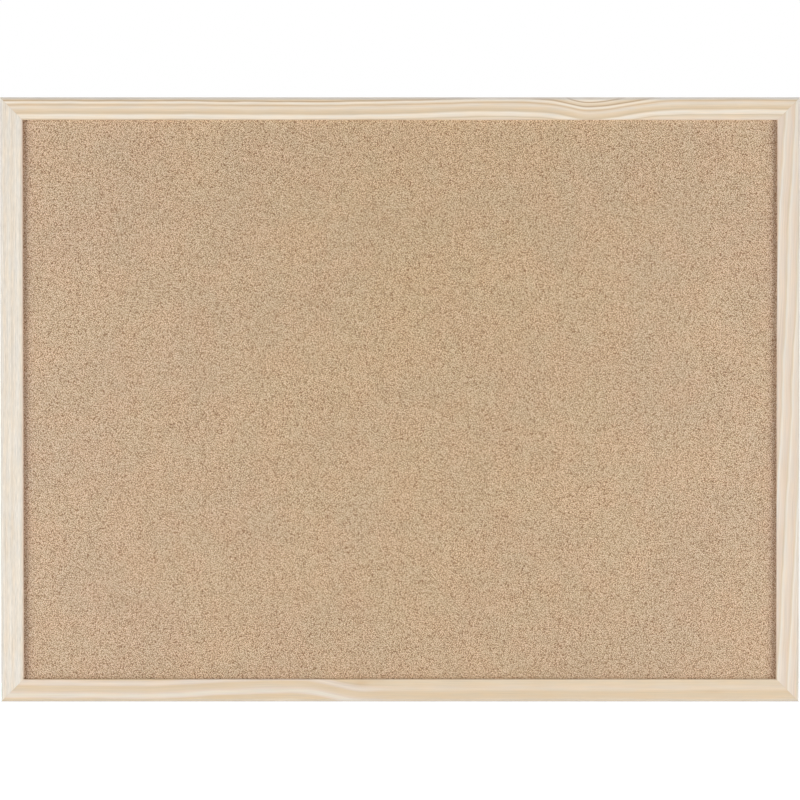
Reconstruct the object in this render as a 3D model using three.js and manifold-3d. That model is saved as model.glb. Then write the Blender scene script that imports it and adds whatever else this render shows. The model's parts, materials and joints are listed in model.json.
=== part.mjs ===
// A cork notice board in a mitred pine frame, with the fittings on its back.
// Lengths are in millimetres. X runs to the right, Z up, and the cork faces -Y.
// The origin lies on the wall, behind the middle of the board.
import * as THREE from 'three';
import { mergeVertices } from 'three/addons/utils/BufferGeometryUtils.js';
import Module from 'manifold-3d';

// The board as a whole
const boardWidth = 600;
const boardHeight = 454;

// The moulding that the frame is cut from
const faceWidth = 17;
const lipWidth = 5;
const lipThickness = 3.5;
const outerRound = 2.8;
const innerRound = 1;
const roundSteps = 6;

// The layers held in the rabbet, from the front to the back
const corkThickness = 2;
const corkPress = 0.4;
const corkFieldGap = 0.5;
const coreThickness = 6;
const backPanelThickness = 2.5;
const panelEdgeGap = 0.6;
const rearRecess = 2.1;

// Gaps between pieces, and the overrun of every cut
const glueGap = 0.1;
const fitGap = 0.3;
const cutOverrun = 1;

// V-shaped corner nails, pressed in from the back across each mitre
const nailLeg = 4;
const nailThickness = 0.5;
const nailDepth = 10;
const nailSink = 0.3;
const nailPlaceShares = { outer: 0.3, inner: 0.68 };

// Flexible steel points that hold the layers in the rabbet
const pointWidth = 5.5;
const pointThickness = 0.6;
const pointBite = 6;
const pointReach = 9;
const pointTip = 2.5;
const railPointShares = [-0.38, -0.13, 0.13, 0.38];
const pointScrewGap = 18;

// D-ring hangers: a folded strap with an eye, a wire ring and a screw
const hangerDrop = 60;
const hangerShift = 1.2;
const strapWidth = 7;
const strapThickness = 1.2;
const eyeWall = 0.6;
const eyeSteps = 32;
const strapEndMargin = 4.5;
const wireDiameter = 1.6;
const ringSpan = 13.8;
const ringSide = 1.5;
const ringCornerRadius = 1.8;
const ringArcSteps = 8;
const wireSides = 12;

// Pan-head screws with a cross recess
const screwHeadDiameter = 5.6;
const screwHeadHeight = 1.6;
const screwHeadRim = 0.5;
const screwShankDiameter = 2.8;
const screwLength = 10;
const screwPoint = 2.4;
const screwHeadClearance = 0.5;
const screwSteps = 32;
const recessLength = 3.2;
const recessWidth = 0.8;
const recessDepth = 1;

// Rubber bumpers that keep the lower corners off the wall
const bumperDiameter = 9.5;
const bumperThickness = 4;
const bumperRound = 1.2;
const bumperRise = 18;
const bumperSteps = 40;
const bumperRoundSteps = 5;

// Sizes that follow from those above
const rimWidth = faceWidth - lipWidth;
const corkMarginThickness = corkThickness - corkPress;
const stackThickness = glueGap + corkMarginThickness + glueGap + coreThickness + glueGap + backPanelThickness;
const frameDepth = lipThickness + stackThickness + rearRecess;
const frameBack = -bumperThickness;
const frameFront = frameBack - frameDepth;
const mitreSetback = glueGap / Math.SQRT2;
const panelWidth = boardWidth - 2 * (rimWidth + panelEdgeGap);
const panelHeight = boardHeight - 2 * (rimWidth + panelEdgeGap);
const corkMarginFront = frameFront + lipThickness + glueGap;
const corkBack = corkMarginFront + corkMarginThickness;
const coreFront = corkBack + glueGap;
const coreBack = coreFront + coreThickness;
const backPanelFront = coreBack + glueGap;
const backPanelBack = backPanelFront + backPanelThickness;
const pointBack = backPanelBack + fitGap + pointThickness;

const wireRadius = wireDiameter / 2;
const eyeBore = wireRadius + fitGap;
const eyeRadius = eyeBore + eyeWall;
const strapBack = frameBack + glueGap + strapThickness;
const hingeDepth = frameBack + glueGap + eyeRadius;
const hingeHeight = boardHeight / 2 - hangerDrop;
const hangerInset = rimWidth / 2 + hangerShift;
const hangerSide = boardWidth / 2 - hangerInset;
const ringHalfSpan = ringSpan / 2 - wireRadius;
const ringRise = ringCornerRadius + ringSide + ringHalfSpan;
const ringLean = Math.asin((hingeDepth - frameBack - wireRadius - fitGap) / ringRise);
const screwDrop = ringRise + wireRadius + screwHeadClearance + screwHeadDiameter / 2;
const screwHeight = hingeHeight - screwDrop;
const screwSeat = strapBack + glueGap;
const screwHole = screwShankDiameter / 2 + fitGap;
const screwTip = screwSeat - screwLength;

const railPointPlaces = railPointShares.map((share) => share * boardWidth);
const stilePointReach = screwHeight - pointScrewGap;
const stilePointPlaces = [-stilePointReach, 0, stilePointReach];

const quarterTurn = Math.PI / 2;

// Solids that booleans cut and join
const wasm = await Module();
wasm.setup();

function solidFrom(geometry) {
  const bare = geometry.clone();
  bare.deleteAttribute('normal');
  bare.deleteAttribute('uv');
  const merged = mergeVertices(bare);
  const vertProperties = Float32Array.from(merged.attributes.position.array);
  const triVerts = Uint32Array.from(merged.index.array);
  return new wasm.Manifold(new wasm.Mesh({ numProp: 3, vertProperties, triVerts }));
}

function geometryFrom(solid) {
  const { vertProperties, triVerts } = solid.getMesh();
  const geometry = new THREE.BufferGeometry();
  geometry.setAttribute('position', new THREE.BufferAttribute(vertProperties, 3));
  geometry.setIndex(new THREE.BufferAttribute(triVerts, 1));
  geometry.computeVertexNormals();
  return geometry;
}

function cut(geometry, cutters) {
  let solid = solidFrom(geometry);
  for (const cutter of cutters) {
    solid = solid.subtract(solidFrom(cutter));
  }
  return geometryFrom(solid);
}

function join(first, second) {
  return geometryFrom(solidFrom(first).add(solidFrom(second)));
}

// A plate whose outline is drawn in X and Z, and which runs from Y = 0 towards the front
function plateFrom(outline, thickness, curveSegments = roundSteps) {
  const settings = { depth: thickness, bevelEnabled: false, curveSegments };
  return new THREE.ExtrudeGeometry(outline, settings).rotateX(quarterTurn);
}

function boxBetween(left, right, front, back, bottom, top) {
  const geometry = new THREE.BoxGeometry(right - left, back - front, top - bottom);
  return geometry.translate((left + right) / 2, (front + back) / 2, (bottom + top) / 2);
}

function outlineFrom(points) {
  return new THREE.Shape(points.map(([across, up]) => new THREE.Vector2(across, up)));
}

function meshFrom(name, geometry, material) {
  const mesh = new THREE.Mesh(geometry, material);
  mesh.name = name;
  return mesh;
}

// Materials
function pine() {
  return new THREE.MeshStandardMaterial({ color: 0xe3d0b3, roughness: 0.55, metalness: 0 });
}

function cork() {
  return new THREE.MeshStandardMaterial({ color: 0xc3a98b, roughness: 0.95, metalness: 0 });
}

function softboard() {
  return new THREE.MeshStandardMaterial({ color: 0xb59b78, roughness: 0.95, metalness: 0 });
}

function hardboard() {
  return new THREE.MeshStandardMaterial({ color: 0x7d5a3c, roughness: 0.7, metalness: 0 });
}

function zincSteel() {
  return new THREE.MeshStandardMaterial({ color: 0xc4c7c9, roughness: 0.35, metalness: 1 });
}

function blackSteel() {
  return new THREE.MeshStandardMaterial({ color: 0x4a4b4d, roughness: 0.5, metalness: 1 });
}

function rubber() {
  return new THREE.MeshStandardMaterial({ color: 0x3b3b3c, roughness: 0.85, metalness: 0 });
}

// The moulding's section: X runs inwards from the outer edge, Y forwards from the back
function railSection() {
  const lipBack = frameDepth - lipThickness;
  const section = new THREE.Shape();
  section.moveTo(0, 0);
  section.lineTo(0, frameDepth - outerRound);
  section.absarc(outerRound, frameDepth - outerRound, outerRound, Math.PI, quarterTurn, true);
  section.lineTo(faceWidth - innerRound, frameDepth);
  section.absarc(faceWidth - innerRound, frameDepth - innerRound, innerRound, quarterTurn, 0, true);
  section.lineTo(faceWidth, lipBack);
  section.lineTo(rimWidth, lipBack);
  section.lineTo(rimWidth, 0);
  section.closePath();
  return section;
}

// One mitred length, lying as the bottom rail does: along X, with its outer edge down
function mitredLength(length, acrossBoard) {
  const unit = { depth: 1, bevelEnabled: false, curveSegments: roundSteps };
  const geometry = new THREE.ExtrudeGeometry(railSection(), unit);
  const place = geometry.attributes.position;
  for (let i = 0; i < place.count; i += 1) {
    const inward = place.getX(i);
    const forward = place.getY(i);
    const reach = length - 2 * (inward + mitreSetback);
    place.setXYZ(i, (place.getZ(i) - 1 / 2) * reach, frameBack - forward, inward - acrossBoard / 2);
  }
  return geometry;
}

// A corner nail in plan: an apex with one leg along -X and one along +Z
function nailOutline(leg, thickness) {
  const side = thickness / 2;
  return outlineFrom([
    [side, -side],
    [side, leg],
    [-side, leg],
    [-side, side],
    [-leg, side],
    [-leg, -side],
  ]);
}

function nailSlot(turn, across, up) {
  const outline = nailOutline(nailLeg + fitGap, nailThickness + 2 * fitGap);
  const depth = nailSink + nailDepth + fitGap + cutOverrun;
  const slot = plateFrom(outline, depth).rotateY(turn);
  return slot.translate(across, frameBack + cutOverrun, up);
}

// The slots that one mitred length shares with its two neighbours
function nailSlots(length, acrossBoard) {
  const slots = [];
  for (const share of Object.values(nailPlaceShares)) {
    const inward = share * rimWidth;
    const up = inward - acrossBoard / 2;
    slots.push(nailSlot(0, length / 2 - inward, up));
    slots.push(nailSlot(quarterTurn, inward - length / 2, up));
  }
  return slots;
}

function pointSlots(places, acrossBoard) {
  const side = pointWidth / 2 + fitGap;
  const wall = rimWidth - acrossBoard / 2;
  return places.map((place) => boxBetween(
    place - side,
    place + side,
    pointBack - pointThickness - fitGap,
    pointBack + fitGap,
    wall - pointBite - fitGap,
    wall + cutOverrun,
  ));
}

// The pilot hole of a hanger's screw, at a place along the length
function pilotHole(along, acrossBoard) {
  const depth = frameBack - screwTip + fitGap + cutOverrun;
  const hole = new THREE.CylinderGeometry(screwHole, screwHole, depth, screwSteps);
  return hole.translate(along, frameBack + cutOverrun - depth / 2, hangerInset - acrossBoard / 2);
}

function retainingPoint(name) {
  const side = pointWidth / 2;
  const outline = outlineFrom([
    [0, -pointBite],
    [side, pointTip - pointBite],
    [side, pointReach],
    [-side, pointReach],
    [-side, pointTip - pointBite],
  ]);
  return meshFrom(name, plateFrom(outline, pointThickness), blackSteel());
}

// One side of the frame: its length of moulding and the points driven into it
function frameSide({ name, label, turns, length, acrossBoard, places, holes }) {
  const side = new THREE.Group();
  const cutters = [...nailSlots(length, acrossBoard), ...pointSlots(places, acrossBoard), ...holes];
  side.add(meshFrom(name, cut(mitredLength(length, acrossBoard), cutters), pine()));
  places.forEach((place, index) => {
    const point = retainingPoint(`retaining_point_${label}_${index + 1}`);
    point.position.set(place, pointBack, rimWidth - acrossBoard / 2);
    side.add(point);
  });
  side.rotation.y = turns * quarterTurn;
  return side;
}

function woodFrame() {
  const rail = { length: boardWidth, acrossBoard: boardHeight, places: railPointPlaces, holes: [] };
  const stile = { length: boardHeight, acrossBoard: boardWidth, places: stilePointPlaces };
  const leftHoles = [pilotHole(-screwHeight, boardWidth)];
  const rightHoles = [pilotHole(screwHeight, boardWidth)];
  const frame = new THREE.Group();
  frame.add(frameSide({ name: 'rail_bottom', label: 'bottom', turns: 0, ...rail }));
  frame.add(frameSide({ name: 'stile_left', label: 'left', turns: 1, ...stile, holes: leftHoles }));
  frame.add(frameSide({ name: 'rail_top', label: 'top', turns: 2, ...rail }));
  frame.add(frameSide({ name: 'stile_right', label: 'right', turns: 3, ...stile, holes: rightHoles }));
  return frame;
}

// The two nails of one corner, set on the mitre line
function cornerNails({ name, turns, sideways, upwards }) {
  const corner = new THREE.Group();
  for (const [place, share] of Object.entries(nailPlaceShares)) {
    const inward = share * rimWidth;
    const geometry = plateFrom(nailOutline(nailLeg, nailThickness), nailDepth);
    const nail = meshFrom(`corner_nail_${name}_${place}`, geometry, zincSteel());
    nail.rotation.y = turns * quarterTurn;
    nail.position.set(
      sideways * (boardWidth / 2 - inward),
      frameBack - nailSink,
      upwards * (boardHeight / 2 - inward),
    );
    corner.add(nail);
  }
  return corner;
}

function allCornerNails() {
  const nails = new THREE.Group();
  nails.add(cornerNails({ name: 'bottom_right', turns: 0, sideways: 1, upwards: -1 }));
  nails.add(cornerNails({ name: 'bottom_left', turns: 1, sideways: -1, upwards: -1 }));
  nails.add(cornerNails({ name: 'top_left', turns: 2, sideways: -1, upwards: 1 }));
  nails.add(cornerNails({ name: 'top_right', turns: 3, sideways: 1, upwards: 1 }));
  return nails;
}

// The cork: its margin is pressed thin behind the lip, and its field stands forward in the opening
function corkSheet() {
  const halfWidth = panelWidth / 2;
  const halfHeight = panelHeight / 2;
  const fieldHalfWidth = boardWidth / 2 - faceWidth - corkFieldGap;
  const fieldHalfHeight = boardHeight / 2 - faceWidth - corkFieldGap;
  const fieldFront = corkMarginFront - corkPress;
  const margin = boxBetween(-halfWidth, halfWidth, corkMarginFront, corkBack, -halfHeight, halfHeight);
  const field = boxBetween(
    -fieldHalfWidth,
    fieldHalfWidth,
    fieldFront,
    corkBack - corkMarginThickness / 2,
    -fieldHalfHeight,
    fieldHalfHeight,
  );
  return meshFrom('cork_sheet', join(margin, field), cork());
}

function panelLayer(name, front, back, material) {
  const halfWidth = panelWidth / 2;
  const halfHeight = panelHeight / 2;
  return meshFrom(name, boxBetween(-halfWidth, halfWidth, front, back, -halfHeight, halfHeight), material);
}

function panelStack() {
  const stack = new THREE.Group();
  stack.add(corkSheet());
  stack.add(panelLayer('core_board', coreFront, coreBack, softboard()));
  stack.add(panelLayer('back_panel', backPanelFront, backPanelBack, hardboard()));
  return stack;
}

// The strap's plate in plan, from the hinge line down to a round end
function strapOutline() {
  const side = strapWidth / 2;
  const endCentre = side - screwDrop - strapEndMargin;
  const outline = new THREE.Shape();
  outline.moveTo(side, 0);
  outline.lineTo(-side, 0);
  outline.lineTo(-side, endCentre);
  outline.absarc(0, endCentre, side, Math.PI, 2 * Math.PI, false);
  outline.closePath();
  return outline;
}

function eyeCylinder(radius, length) {
  return new THREE.CylinderGeometry(radius, radius, length, eyeSteps).rotateZ(quarterTurn);
}

// A strap, with its hinge line at the origin
function hangerStrap(name) {
  const plate = plateFrom(strapOutline(), strapThickness, eyeSteps / 2);
  plate.translate(0, strapBack - hingeDepth, 0);
  const holeLength = strapThickness + 2 * cutOverrun;
  const hole = new THREE.CylinderGeometry(screwHole, screwHole, holeLength, screwSteps);
  hole.translate(0, strapBack - hingeDepth - strapThickness / 2, -screwDrop);
  const bore = eyeCylinder(eyeBore, strapWidth + 2 * cutOverrun);
  const blank = join(plate, eyeCylinder(eyeRadius, strapWidth));
  return meshFrom(name, cut(blank, [bore, hole]), zincSteel());
}

// The ring's middle line: a bar through the eye, round corners, short sides and a half circle
function ringLine() {
  const line = new THREE.Path();
  const cornerCentre = ringHalfSpan - ringCornerRadius;
  const shoulder = ringCornerRadius + ringSide;
  line.moveTo(-cornerCentre, 0);
  line.lineTo(cornerCentre, 0);
  line.absarc(cornerCentre, ringCornerRadius, ringCornerRadius, -quarterTurn, 0, false);
  line.lineTo(ringHalfSpan, shoulder);
  line.absarc(0, shoulder, ringHalfSpan, 0, Math.PI, false);
  line.lineTo(-ringHalfSpan, ringCornerRadius);
  line.absarc(-cornerCentre, ringCornerRadius, ringCornerRadius, Math.PI, 3 * quarterTurn, false);
  return line.getPoints(ringArcSteps);
}

// Drops each point that repeats the one before it, the last one against the first too
function withoutRepeats(points) {
  const least = wireRadius / wireSides;
  return points.filter((point, index) => point.distanceTo(points.at(index - 1)) > least);
}

// A round wire that closes on itself along a flat line of X and Z
function closedWire(line) {
  const positions = [];
  const indices = [];
  const count = line.length;
  for (let i = 0; i < count; i += 1) {
    const here = line[i];
    const tangent = line[(i + 1) % count].clone().sub(line.at(i - 1)).normalize();
    for (let j = 0; j < wireSides; j += 1) {
      const angle = (j / wireSides) * 2 * Math.PI;
      const outward = wireRadius * Math.cos(angle);
      const depth = wireRadius * Math.sin(angle);
      positions.push(here.x + tangent.y * outward, depth, here.y - tangent.x * outward);
      const next = ((i + 1) % count) * wireSides;
      const sideways = (j + 1) % wireSides;
      indices.push(i * wireSides + j, next + sideways, next + j);
      indices.push(i * wireSides + j, i * wireSides + sideways, next + sideways);
    }
  }
  const geometry = new THREE.BufferGeometry();
  geometry.setAttribute('position', new THREE.Float32BufferAttribute(positions, 3));
  geometry.setIndex(indices);
  geometry.computeVertexNormals();
  return geometry;
}

// A ring, leaning back until it rests against the frame
function hangerRing(name) {
  const ring = meshFrom(name, closedWire(withoutRepeats(ringLine())), zincSteel());
  ring.rotation.x = ringLean;
  return ring;
}

// A screw, with the seat of its head at the origin and its point towards the front
function hangerScrew(name) {
  const headRadius = screwHeadDiameter / 2;
  const shankRadius = screwShankDiameter / 2;
  const profile = [
    [0, -screwLength],
    [shankRadius, screwPoint - screwLength],
    [shankRadius, 0],
    [headRadius, 0],
    [headRadius, screwHeadRim],
  ];
  const dome = screwHeadHeight - screwHeadRim;
  for (let i = 1; i < roundSteps; i += 1) {
    const angle = (i / roundSteps) * quarterTurn;
    profile.push([headRadius * Math.cos(angle), screwHeadRim + dome * Math.sin(angle)]);
  }
  profile.push([0, screwHeadHeight]);
  const points = profile.map(([radius, along]) => new THREE.Vector2(radius, along));
  const body = new THREE.LatheGeometry(points, screwSteps);
  const recessHeight = recessDepth + cutOverrun;
  const recessCentre = screwHeadHeight - recessDepth + recessHeight / 2;
  const arms = [0, quarterTurn].map((turn) => {
    const arm = new THREE.BoxGeometry(recessLength, recessHeight, recessWidth);
    return arm.rotateY(turn).translate(0, recessCentre, 0);
  });
  return meshFrom(name, cut(body, arms), zincSteel());
}

function hanger(label, sideways) {
  const group = new THREE.Group();
  const screw = hangerScrew(`hanger_screw_${label}`);
  screw.position.set(0, screwSeat - hingeDepth, -screwDrop);
  group.add(hangerStrap(`hanger_strap_${label}`), hangerRing(`hanger_ring_${label}`), screw);
  group.position.set(sideways * hangerSide, hingeDepth, hingeHeight);
  return group;
}

// A bumper stuck to the back of a stile, with its outer face on the wall
function wallBumper(label, sideways) {
  const radius = bumperDiameter / 2;
  const shoulder = radius - bumperRound;
  const profile = [
    [0, glueGap - bumperThickness],
    [radius, glueGap - bumperThickness],
  ];
  for (let i = 0; i < bumperRoundSteps; i += 1) {
    const angle = (i / bumperRoundSteps) * quarterTurn;
    profile.push([shoulder + bumperRound * Math.cos(angle), bumperRound * (Math.sin(angle) - 1)]);
  }
  profile.push([shoulder, 0], [0, 0]);
  const points = profile.map(([across, along]) => new THREE.Vector2(across, along));
  const bumper = meshFrom(`wall_bumper_${label}`, new THREE.LatheGeometry(points, bumperSteps), rubber());
  bumper.position.set(sideways * (boardWidth / 2 - rimWidth / 2), 0, bumperRise - boardHeight / 2);
  return bumper;
}

function backFittings() {
  const fittings = new THREE.Group();
  for (const [label, sideways] of [['left', -1], ['right', 1]]) {
    fittings.add(hanger(label, sideways), wallBumper(label, sideways));
  }
  return fittings;
}

const corkBoard = new THREE.Group();
corkBoard.add(woodFrame(), allCornerNails(), panelStack(), backFittings());

export default corkBoard;
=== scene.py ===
"""A cork notice board in a mitred pine frame, with its back fittings, studio light and camera.

Lengths are in metres, X runs to the right and Z up, and the cork faces -Y, as in the frame. Materials
are worked out in millimetres, because grain and granules are a few millimetres or less across.
"""

from __future__ import annotations

import json
import logging
import math
from dataclasses import dataclass
from enum import Enum
from typing import Iterable, Mapping, Sequence

import bmesh
import bpy
import numpy as np
from mathutils import Matrix, Vector

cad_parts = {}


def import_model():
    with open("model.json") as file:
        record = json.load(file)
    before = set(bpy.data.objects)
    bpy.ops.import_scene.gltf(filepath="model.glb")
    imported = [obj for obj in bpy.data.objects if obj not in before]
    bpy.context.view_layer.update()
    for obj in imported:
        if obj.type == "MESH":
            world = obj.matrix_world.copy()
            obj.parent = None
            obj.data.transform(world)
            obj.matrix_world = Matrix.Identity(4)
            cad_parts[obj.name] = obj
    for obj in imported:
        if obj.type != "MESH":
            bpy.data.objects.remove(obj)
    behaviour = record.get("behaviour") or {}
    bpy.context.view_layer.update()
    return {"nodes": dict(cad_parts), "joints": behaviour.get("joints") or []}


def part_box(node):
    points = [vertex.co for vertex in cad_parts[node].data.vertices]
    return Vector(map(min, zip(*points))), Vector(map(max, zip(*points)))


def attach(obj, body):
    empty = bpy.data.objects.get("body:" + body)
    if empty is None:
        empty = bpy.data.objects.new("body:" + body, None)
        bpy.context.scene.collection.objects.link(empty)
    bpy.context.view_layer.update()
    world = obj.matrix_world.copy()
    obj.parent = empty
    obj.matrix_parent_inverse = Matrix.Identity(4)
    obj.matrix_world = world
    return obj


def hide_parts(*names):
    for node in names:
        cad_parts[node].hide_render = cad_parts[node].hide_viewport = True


LOG = logging.getLogger("cork_board")
MM = 0.001
QUARTER_TURN = math.pi / 2

Pair = tuple[float, float]
Point = tuple[float, float, float]
Colour = tuple[float, float, float, float]
Pieces = dict[str, bpy.types.Object]


def tone(red: int, green: int, blue: int) -> Colour:
    """Turns a colour as it is seen, from 0 to 255, into the linear colour that a shader takes.

    Args:
        red: Red as seen.
        green: Green as seen.
        blue: Blue as seen.

    Returns:
        The linear colour, with full alpha.
    """

    def linear(seen: int) -> float:
        """Undoes the screen's curve for one channel."""
        share = seen / 255
        return share / 12.92 if share <= 0.04045 else ((share + 0.055) / 1.055) ** 2.4

    return (linear(red), linear(green), linear(blue), 1.0)


# Shaders


class Value:
    """A number, vector or colour on its way through a material, with the usual operators on numbers."""

    def __init__(self, nodes: "Nodes", socket: bpy.types.NodeSocket) -> None:
        """Wraps one output socket of a node tree."""
        self.nodes = nodes
        self.socket = socket

    def maths(self, operation: str, *others: "Value | float") -> "Value":
        """The result of one Math node, with this as its first value and the others after it."""
        values = dict(enumerate((self, *others)))
        return self.nodes.add("ShaderNodeMath", {"operation": operation}, values)

    def __add__(self, other: "Value | float") -> "Value":
        """This plus other."""
        return self.maths("ADD", other)

    __radd__ = __add__

    def __sub__(self, other: "Value | float") -> "Value":
        """This less other."""
        return self.maths("SUBTRACT", other)

    def __rsub__(self, other: float) -> "Value":
        """Other less this."""
        return (self * -1.0) + other

    def __mul__(self, other: "Value | float") -> "Value":
        """This times other."""
        return self.maths("MULTIPLY", other)

    __rmul__ = __mul__

    def __truediv__(self, other: "Value | float") -> "Value":
        """This divided by other."""
        return self.maths("DIVIDE", other)

    def __gt__(self, other: float) -> "Value":
        """One where this is above other, and nothing elsewhere."""
        return self.maths("GREATER_THAN", other)

    def exp(self) -> "Value":
        """The exponential of this."""
        return self.maths("EXPONENT")

    def ranged(self, start: float, gain: float) -> "Value":
        """A start plus this times a gain."""
        return start + self * gain

    def smooth(self, low: float, high: float) -> "Value":
        """Rises smoothly from nothing, where this is low, to one where it is high."""
        sockets = {"Value": self, "From Min": low, "From Max": high}
        return self.nodes.add("ShaderNodeMapRange", {"interpolation_type": "SMOOTHSTEP"}, sockets)


Values = tuple[Value, Value, Value]

# The mean of any noise, and the noise between which one kind of patch passes into the other.
MEAN = 0.5
PATCHES = (0.35, 0.65)


@dataclass(frozen=True)
class Noise:
    """A kind of noise.

    Attributes:
        waves: Waves for each unit of the place where it is read.
        detail: The number of finer octaves.
        rough: How strong the finer octaves are.
    """

    waves: float = 1.0
    detail: float = 2.0
    rough: float = 0.5


class Nodes:
    """A node tree under construction, of a material or of the world."""

    def __init__(self, tree: bpy.types.NodeTree) -> None:
        """Takes up a node tree."""
        self.tree = tree

    def node(
        self,
        kind: str,
        settings: Mapping[str, object] | None = None,
        sockets: Mapping[str | int, object] | None = None,
    ) -> bpy.types.Node:
        """Adds a node, sets it up, then fills its sockets.

        Args:
            kind: The node's type.
            settings: Its properties. "stops" holds a ramp's places and colours.
            sockets: A value or a link for each named or numbered input.

        Returns:
            The new node.
        """
        made = self.tree.nodes.new(kind)
        for key, setting in (settings or {}).items():
            if key == "stops":
                self._set_stops(made.color_ramp, setting)
            else:
                setattr(made, key, setting)
        for key, value in (sockets or {}).items():
            if isinstance(value, Value):
                self.tree.links.new(value.socket, made.inputs[key])
            else:
                made.inputs[key].default_value = value
        return made

    def add(
        self,
        kind: str,
        settings: Mapping[str, object] | None = None,
        sockets: Mapping[str | int, object] | None = None,
        output: str | int = 0,
    ) -> Value:
        """Adds a node, as node does, and returns one of its outputs as a value."""
        return Value(self, self.node(kind, settings, sockets).outputs[output])

    @staticmethod
    def _set_stops(ramp: bpy.types.ColorRamp, stops: Sequence[tuple[float, Colour]]) -> None:
        """Gives a colour ramp its stops, in order.

        Args:
            ramp: The ramp of a new node, which has two stops.
            stops: Each stop's place, from 0 to 1, and its colour.
        """
        while len(ramp.elements) < len(stops):
            ramp.elements.new(1.0)
        for element, (place, colour) in zip(ramp.elements, stops):
            element.position = place
            element.color = colour


class NodeFinish(Nodes):
    """A material under construction: one Principled shader and the nodes that feed it."""

    def __init__(self, name: str) -> None:
        """Starts an empty material.

        Args:
            name: The material's name.
        """
        self.material = bpy.data.materials.new(name)
        self.material.use_nodes = True
        super().__init__(self.material.node_tree)
        self.shader = self.tree.nodes["Principled BSDF"]

    def millimetres(self) -> Value:
        """The place on the object in millimetres, as a vector."""
        place = self.add("ShaderNodeTexCoord", output="Object")
        return self.scaled(place, 1 / MM)

    def scaled(self, vector: Value, factor: "Value | float") -> Value:
        """A vector or colour times a number."""
        return self.add("ShaderNodeVectorMath", {"operation": "SCALE"}, {0: vector, "Scale": factor})

    def parts(self, vector: Value) -> Values:
        """The three parts of a vector, as numbers."""
        split = self.node("ShaderNodeSeparateXYZ", sockets={0: vector})
        return tuple(Value(self, socket) for socket in split.outputs)

    def vector(self, across: object, along: object, up: object) -> Value:
        """A vector put together from three numbers."""
        return self.add("ShaderNodeCombineXYZ", sockets={0: across, 1: along, 2: up})

    def noise(self, vector: Value, kind: Noise) -> Value:
        """Smooth noise from 0 to 1, as it is at a place."""
        sockets = {"Vector": vector, "Scale": kind.waves, "Detail": kind.detail, "Roughness": kind.rough}
        return self.add("ShaderNodeTexNoise", sockets=sockets)

    def ramp(self, factor: Value, stops: Sequence[tuple[float, Colour]]) -> Value:
        """The colour at a place from 0 to 1 along a row of stops."""
        return self.add("ShaderNodeValToRGB", {"stops": stops}, {0: factor})

    def mix(self, factor: "Value | float", first: object, second: object, how: str = "MIX") -> Value:
        """A mix of two colours, the factor being the second one's share."""
        sockets = {0: factor, 6: first, 7: second}
        return self.add("ShaderNodeMix", {"data_type": "RGBA", "blend_type": how}, sockets, output=2)

    def tinted(self, colour: Value, factor: Value, first: Colour, second: Colour) -> Value:
        """A colour times a tint, which passes from the first to the second with the factor."""
        return self.mix(1.0, colour, self.mix(factor, first, second), "MULTIPLY")

    def bump(self, height: Value, depth: float) -> None:
        """Raises the surface, for the light alone, by a height from 0 to 1 times a depth in metres."""
        sockets = {"Height": height, "Distance": depth, "Strength": 1.0}
        self.feed("Normal", self.add("ShaderNodeBump", sockets=sockets))

    def feed(self, socket: str, value: object) -> None:
        """Sets or links one socket of the shader.

        Args:
            socket: The socket's name.
            value: A number or colour, or the value that varies over the surface.
        """
        if isinstance(value, Value):
            self.tree.links.new(value.socket, self.shader.inputs[socket])
        else:
            self.shader.inputs[socket].default_value = value


# Sides of the frame


class Side(Enum):
    """A side of the frame, by the quarter turns about Y that bring the bottom rail to it."""

    BOTTOM = 0
    LEFT = 1
    TOP = 2
    RIGHT = 3

    @property
    def node(self) -> str:
        """The name of the CAD node on this side."""
        names = {Side.BOTTOM: "rail_bottom", Side.LEFT: "stile_left", Side.TOP: "rail_top"}
        return names.get(self, "stile_right")

    @property
    def upright(self) -> bool:
        """True for a stile."""
        return self in (Side.LEFT, Side.RIGHT)

    def turn(self) -> Matrix:
        """The rotation from the bottom rail's place to this side's."""
        return Matrix.Rotation(self.value * QUARTER_TURN, 4, "Y")


@dataclass(frozen=True)
class BoardPlan:
    """The planes that the pieces share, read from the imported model.

    Attributes:
        half_width: From the middle to a stile's outer edge.
        half_height: From the middle to a rail's outer edge.
        front: Y of the frame's front.
        back: Y of the frame's back.
        face_width: The width of a rail's face.
    """

    half_width: float
    half_height: float
    front: float
    back: float
    face_width: float

    @classmethod
    def from_frame(cls) -> "BoardPlan":
        """Reads the plan from the rails' and stiles' boxes.

        Returns:
            The plan.
        """
        rail_low, rail_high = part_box("rail_bottom")
        stile_low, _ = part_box("stile_left")
        return cls(-stile_low.x, -rail_low.z, rail_low.y, rail_high.y, rail_high.z - rail_low.z)

    def length(self, side: Side) -> float:
        """The length of a side, along its outer edge."""
        return 2 * (self.half_height if side.upright else self.half_width)

    def across(self, side: Side) -> float:
        """The board's size at right angles to a side."""
        return 2 * (self.half_width if side.upright else self.half_height)


# Meshes


# Points of one mesh that lie closer than this are joined.
SAME_POINT = 0.001 * MM
HOLE_SIDES = 40


def into_scene(name: str, data: bpy.types.ID) -> bpy.types.Object:
    """Makes an object of a mesh, a lamp or a camera, and links it to the scene.

    Args:
        name: The object's name.
        data: What it shows.

    Returns:
        The object.
    """
    made = bpy.data.objects.new(name, data)
    bpy.context.scene.collection.objects.link(made)
    return made


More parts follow.
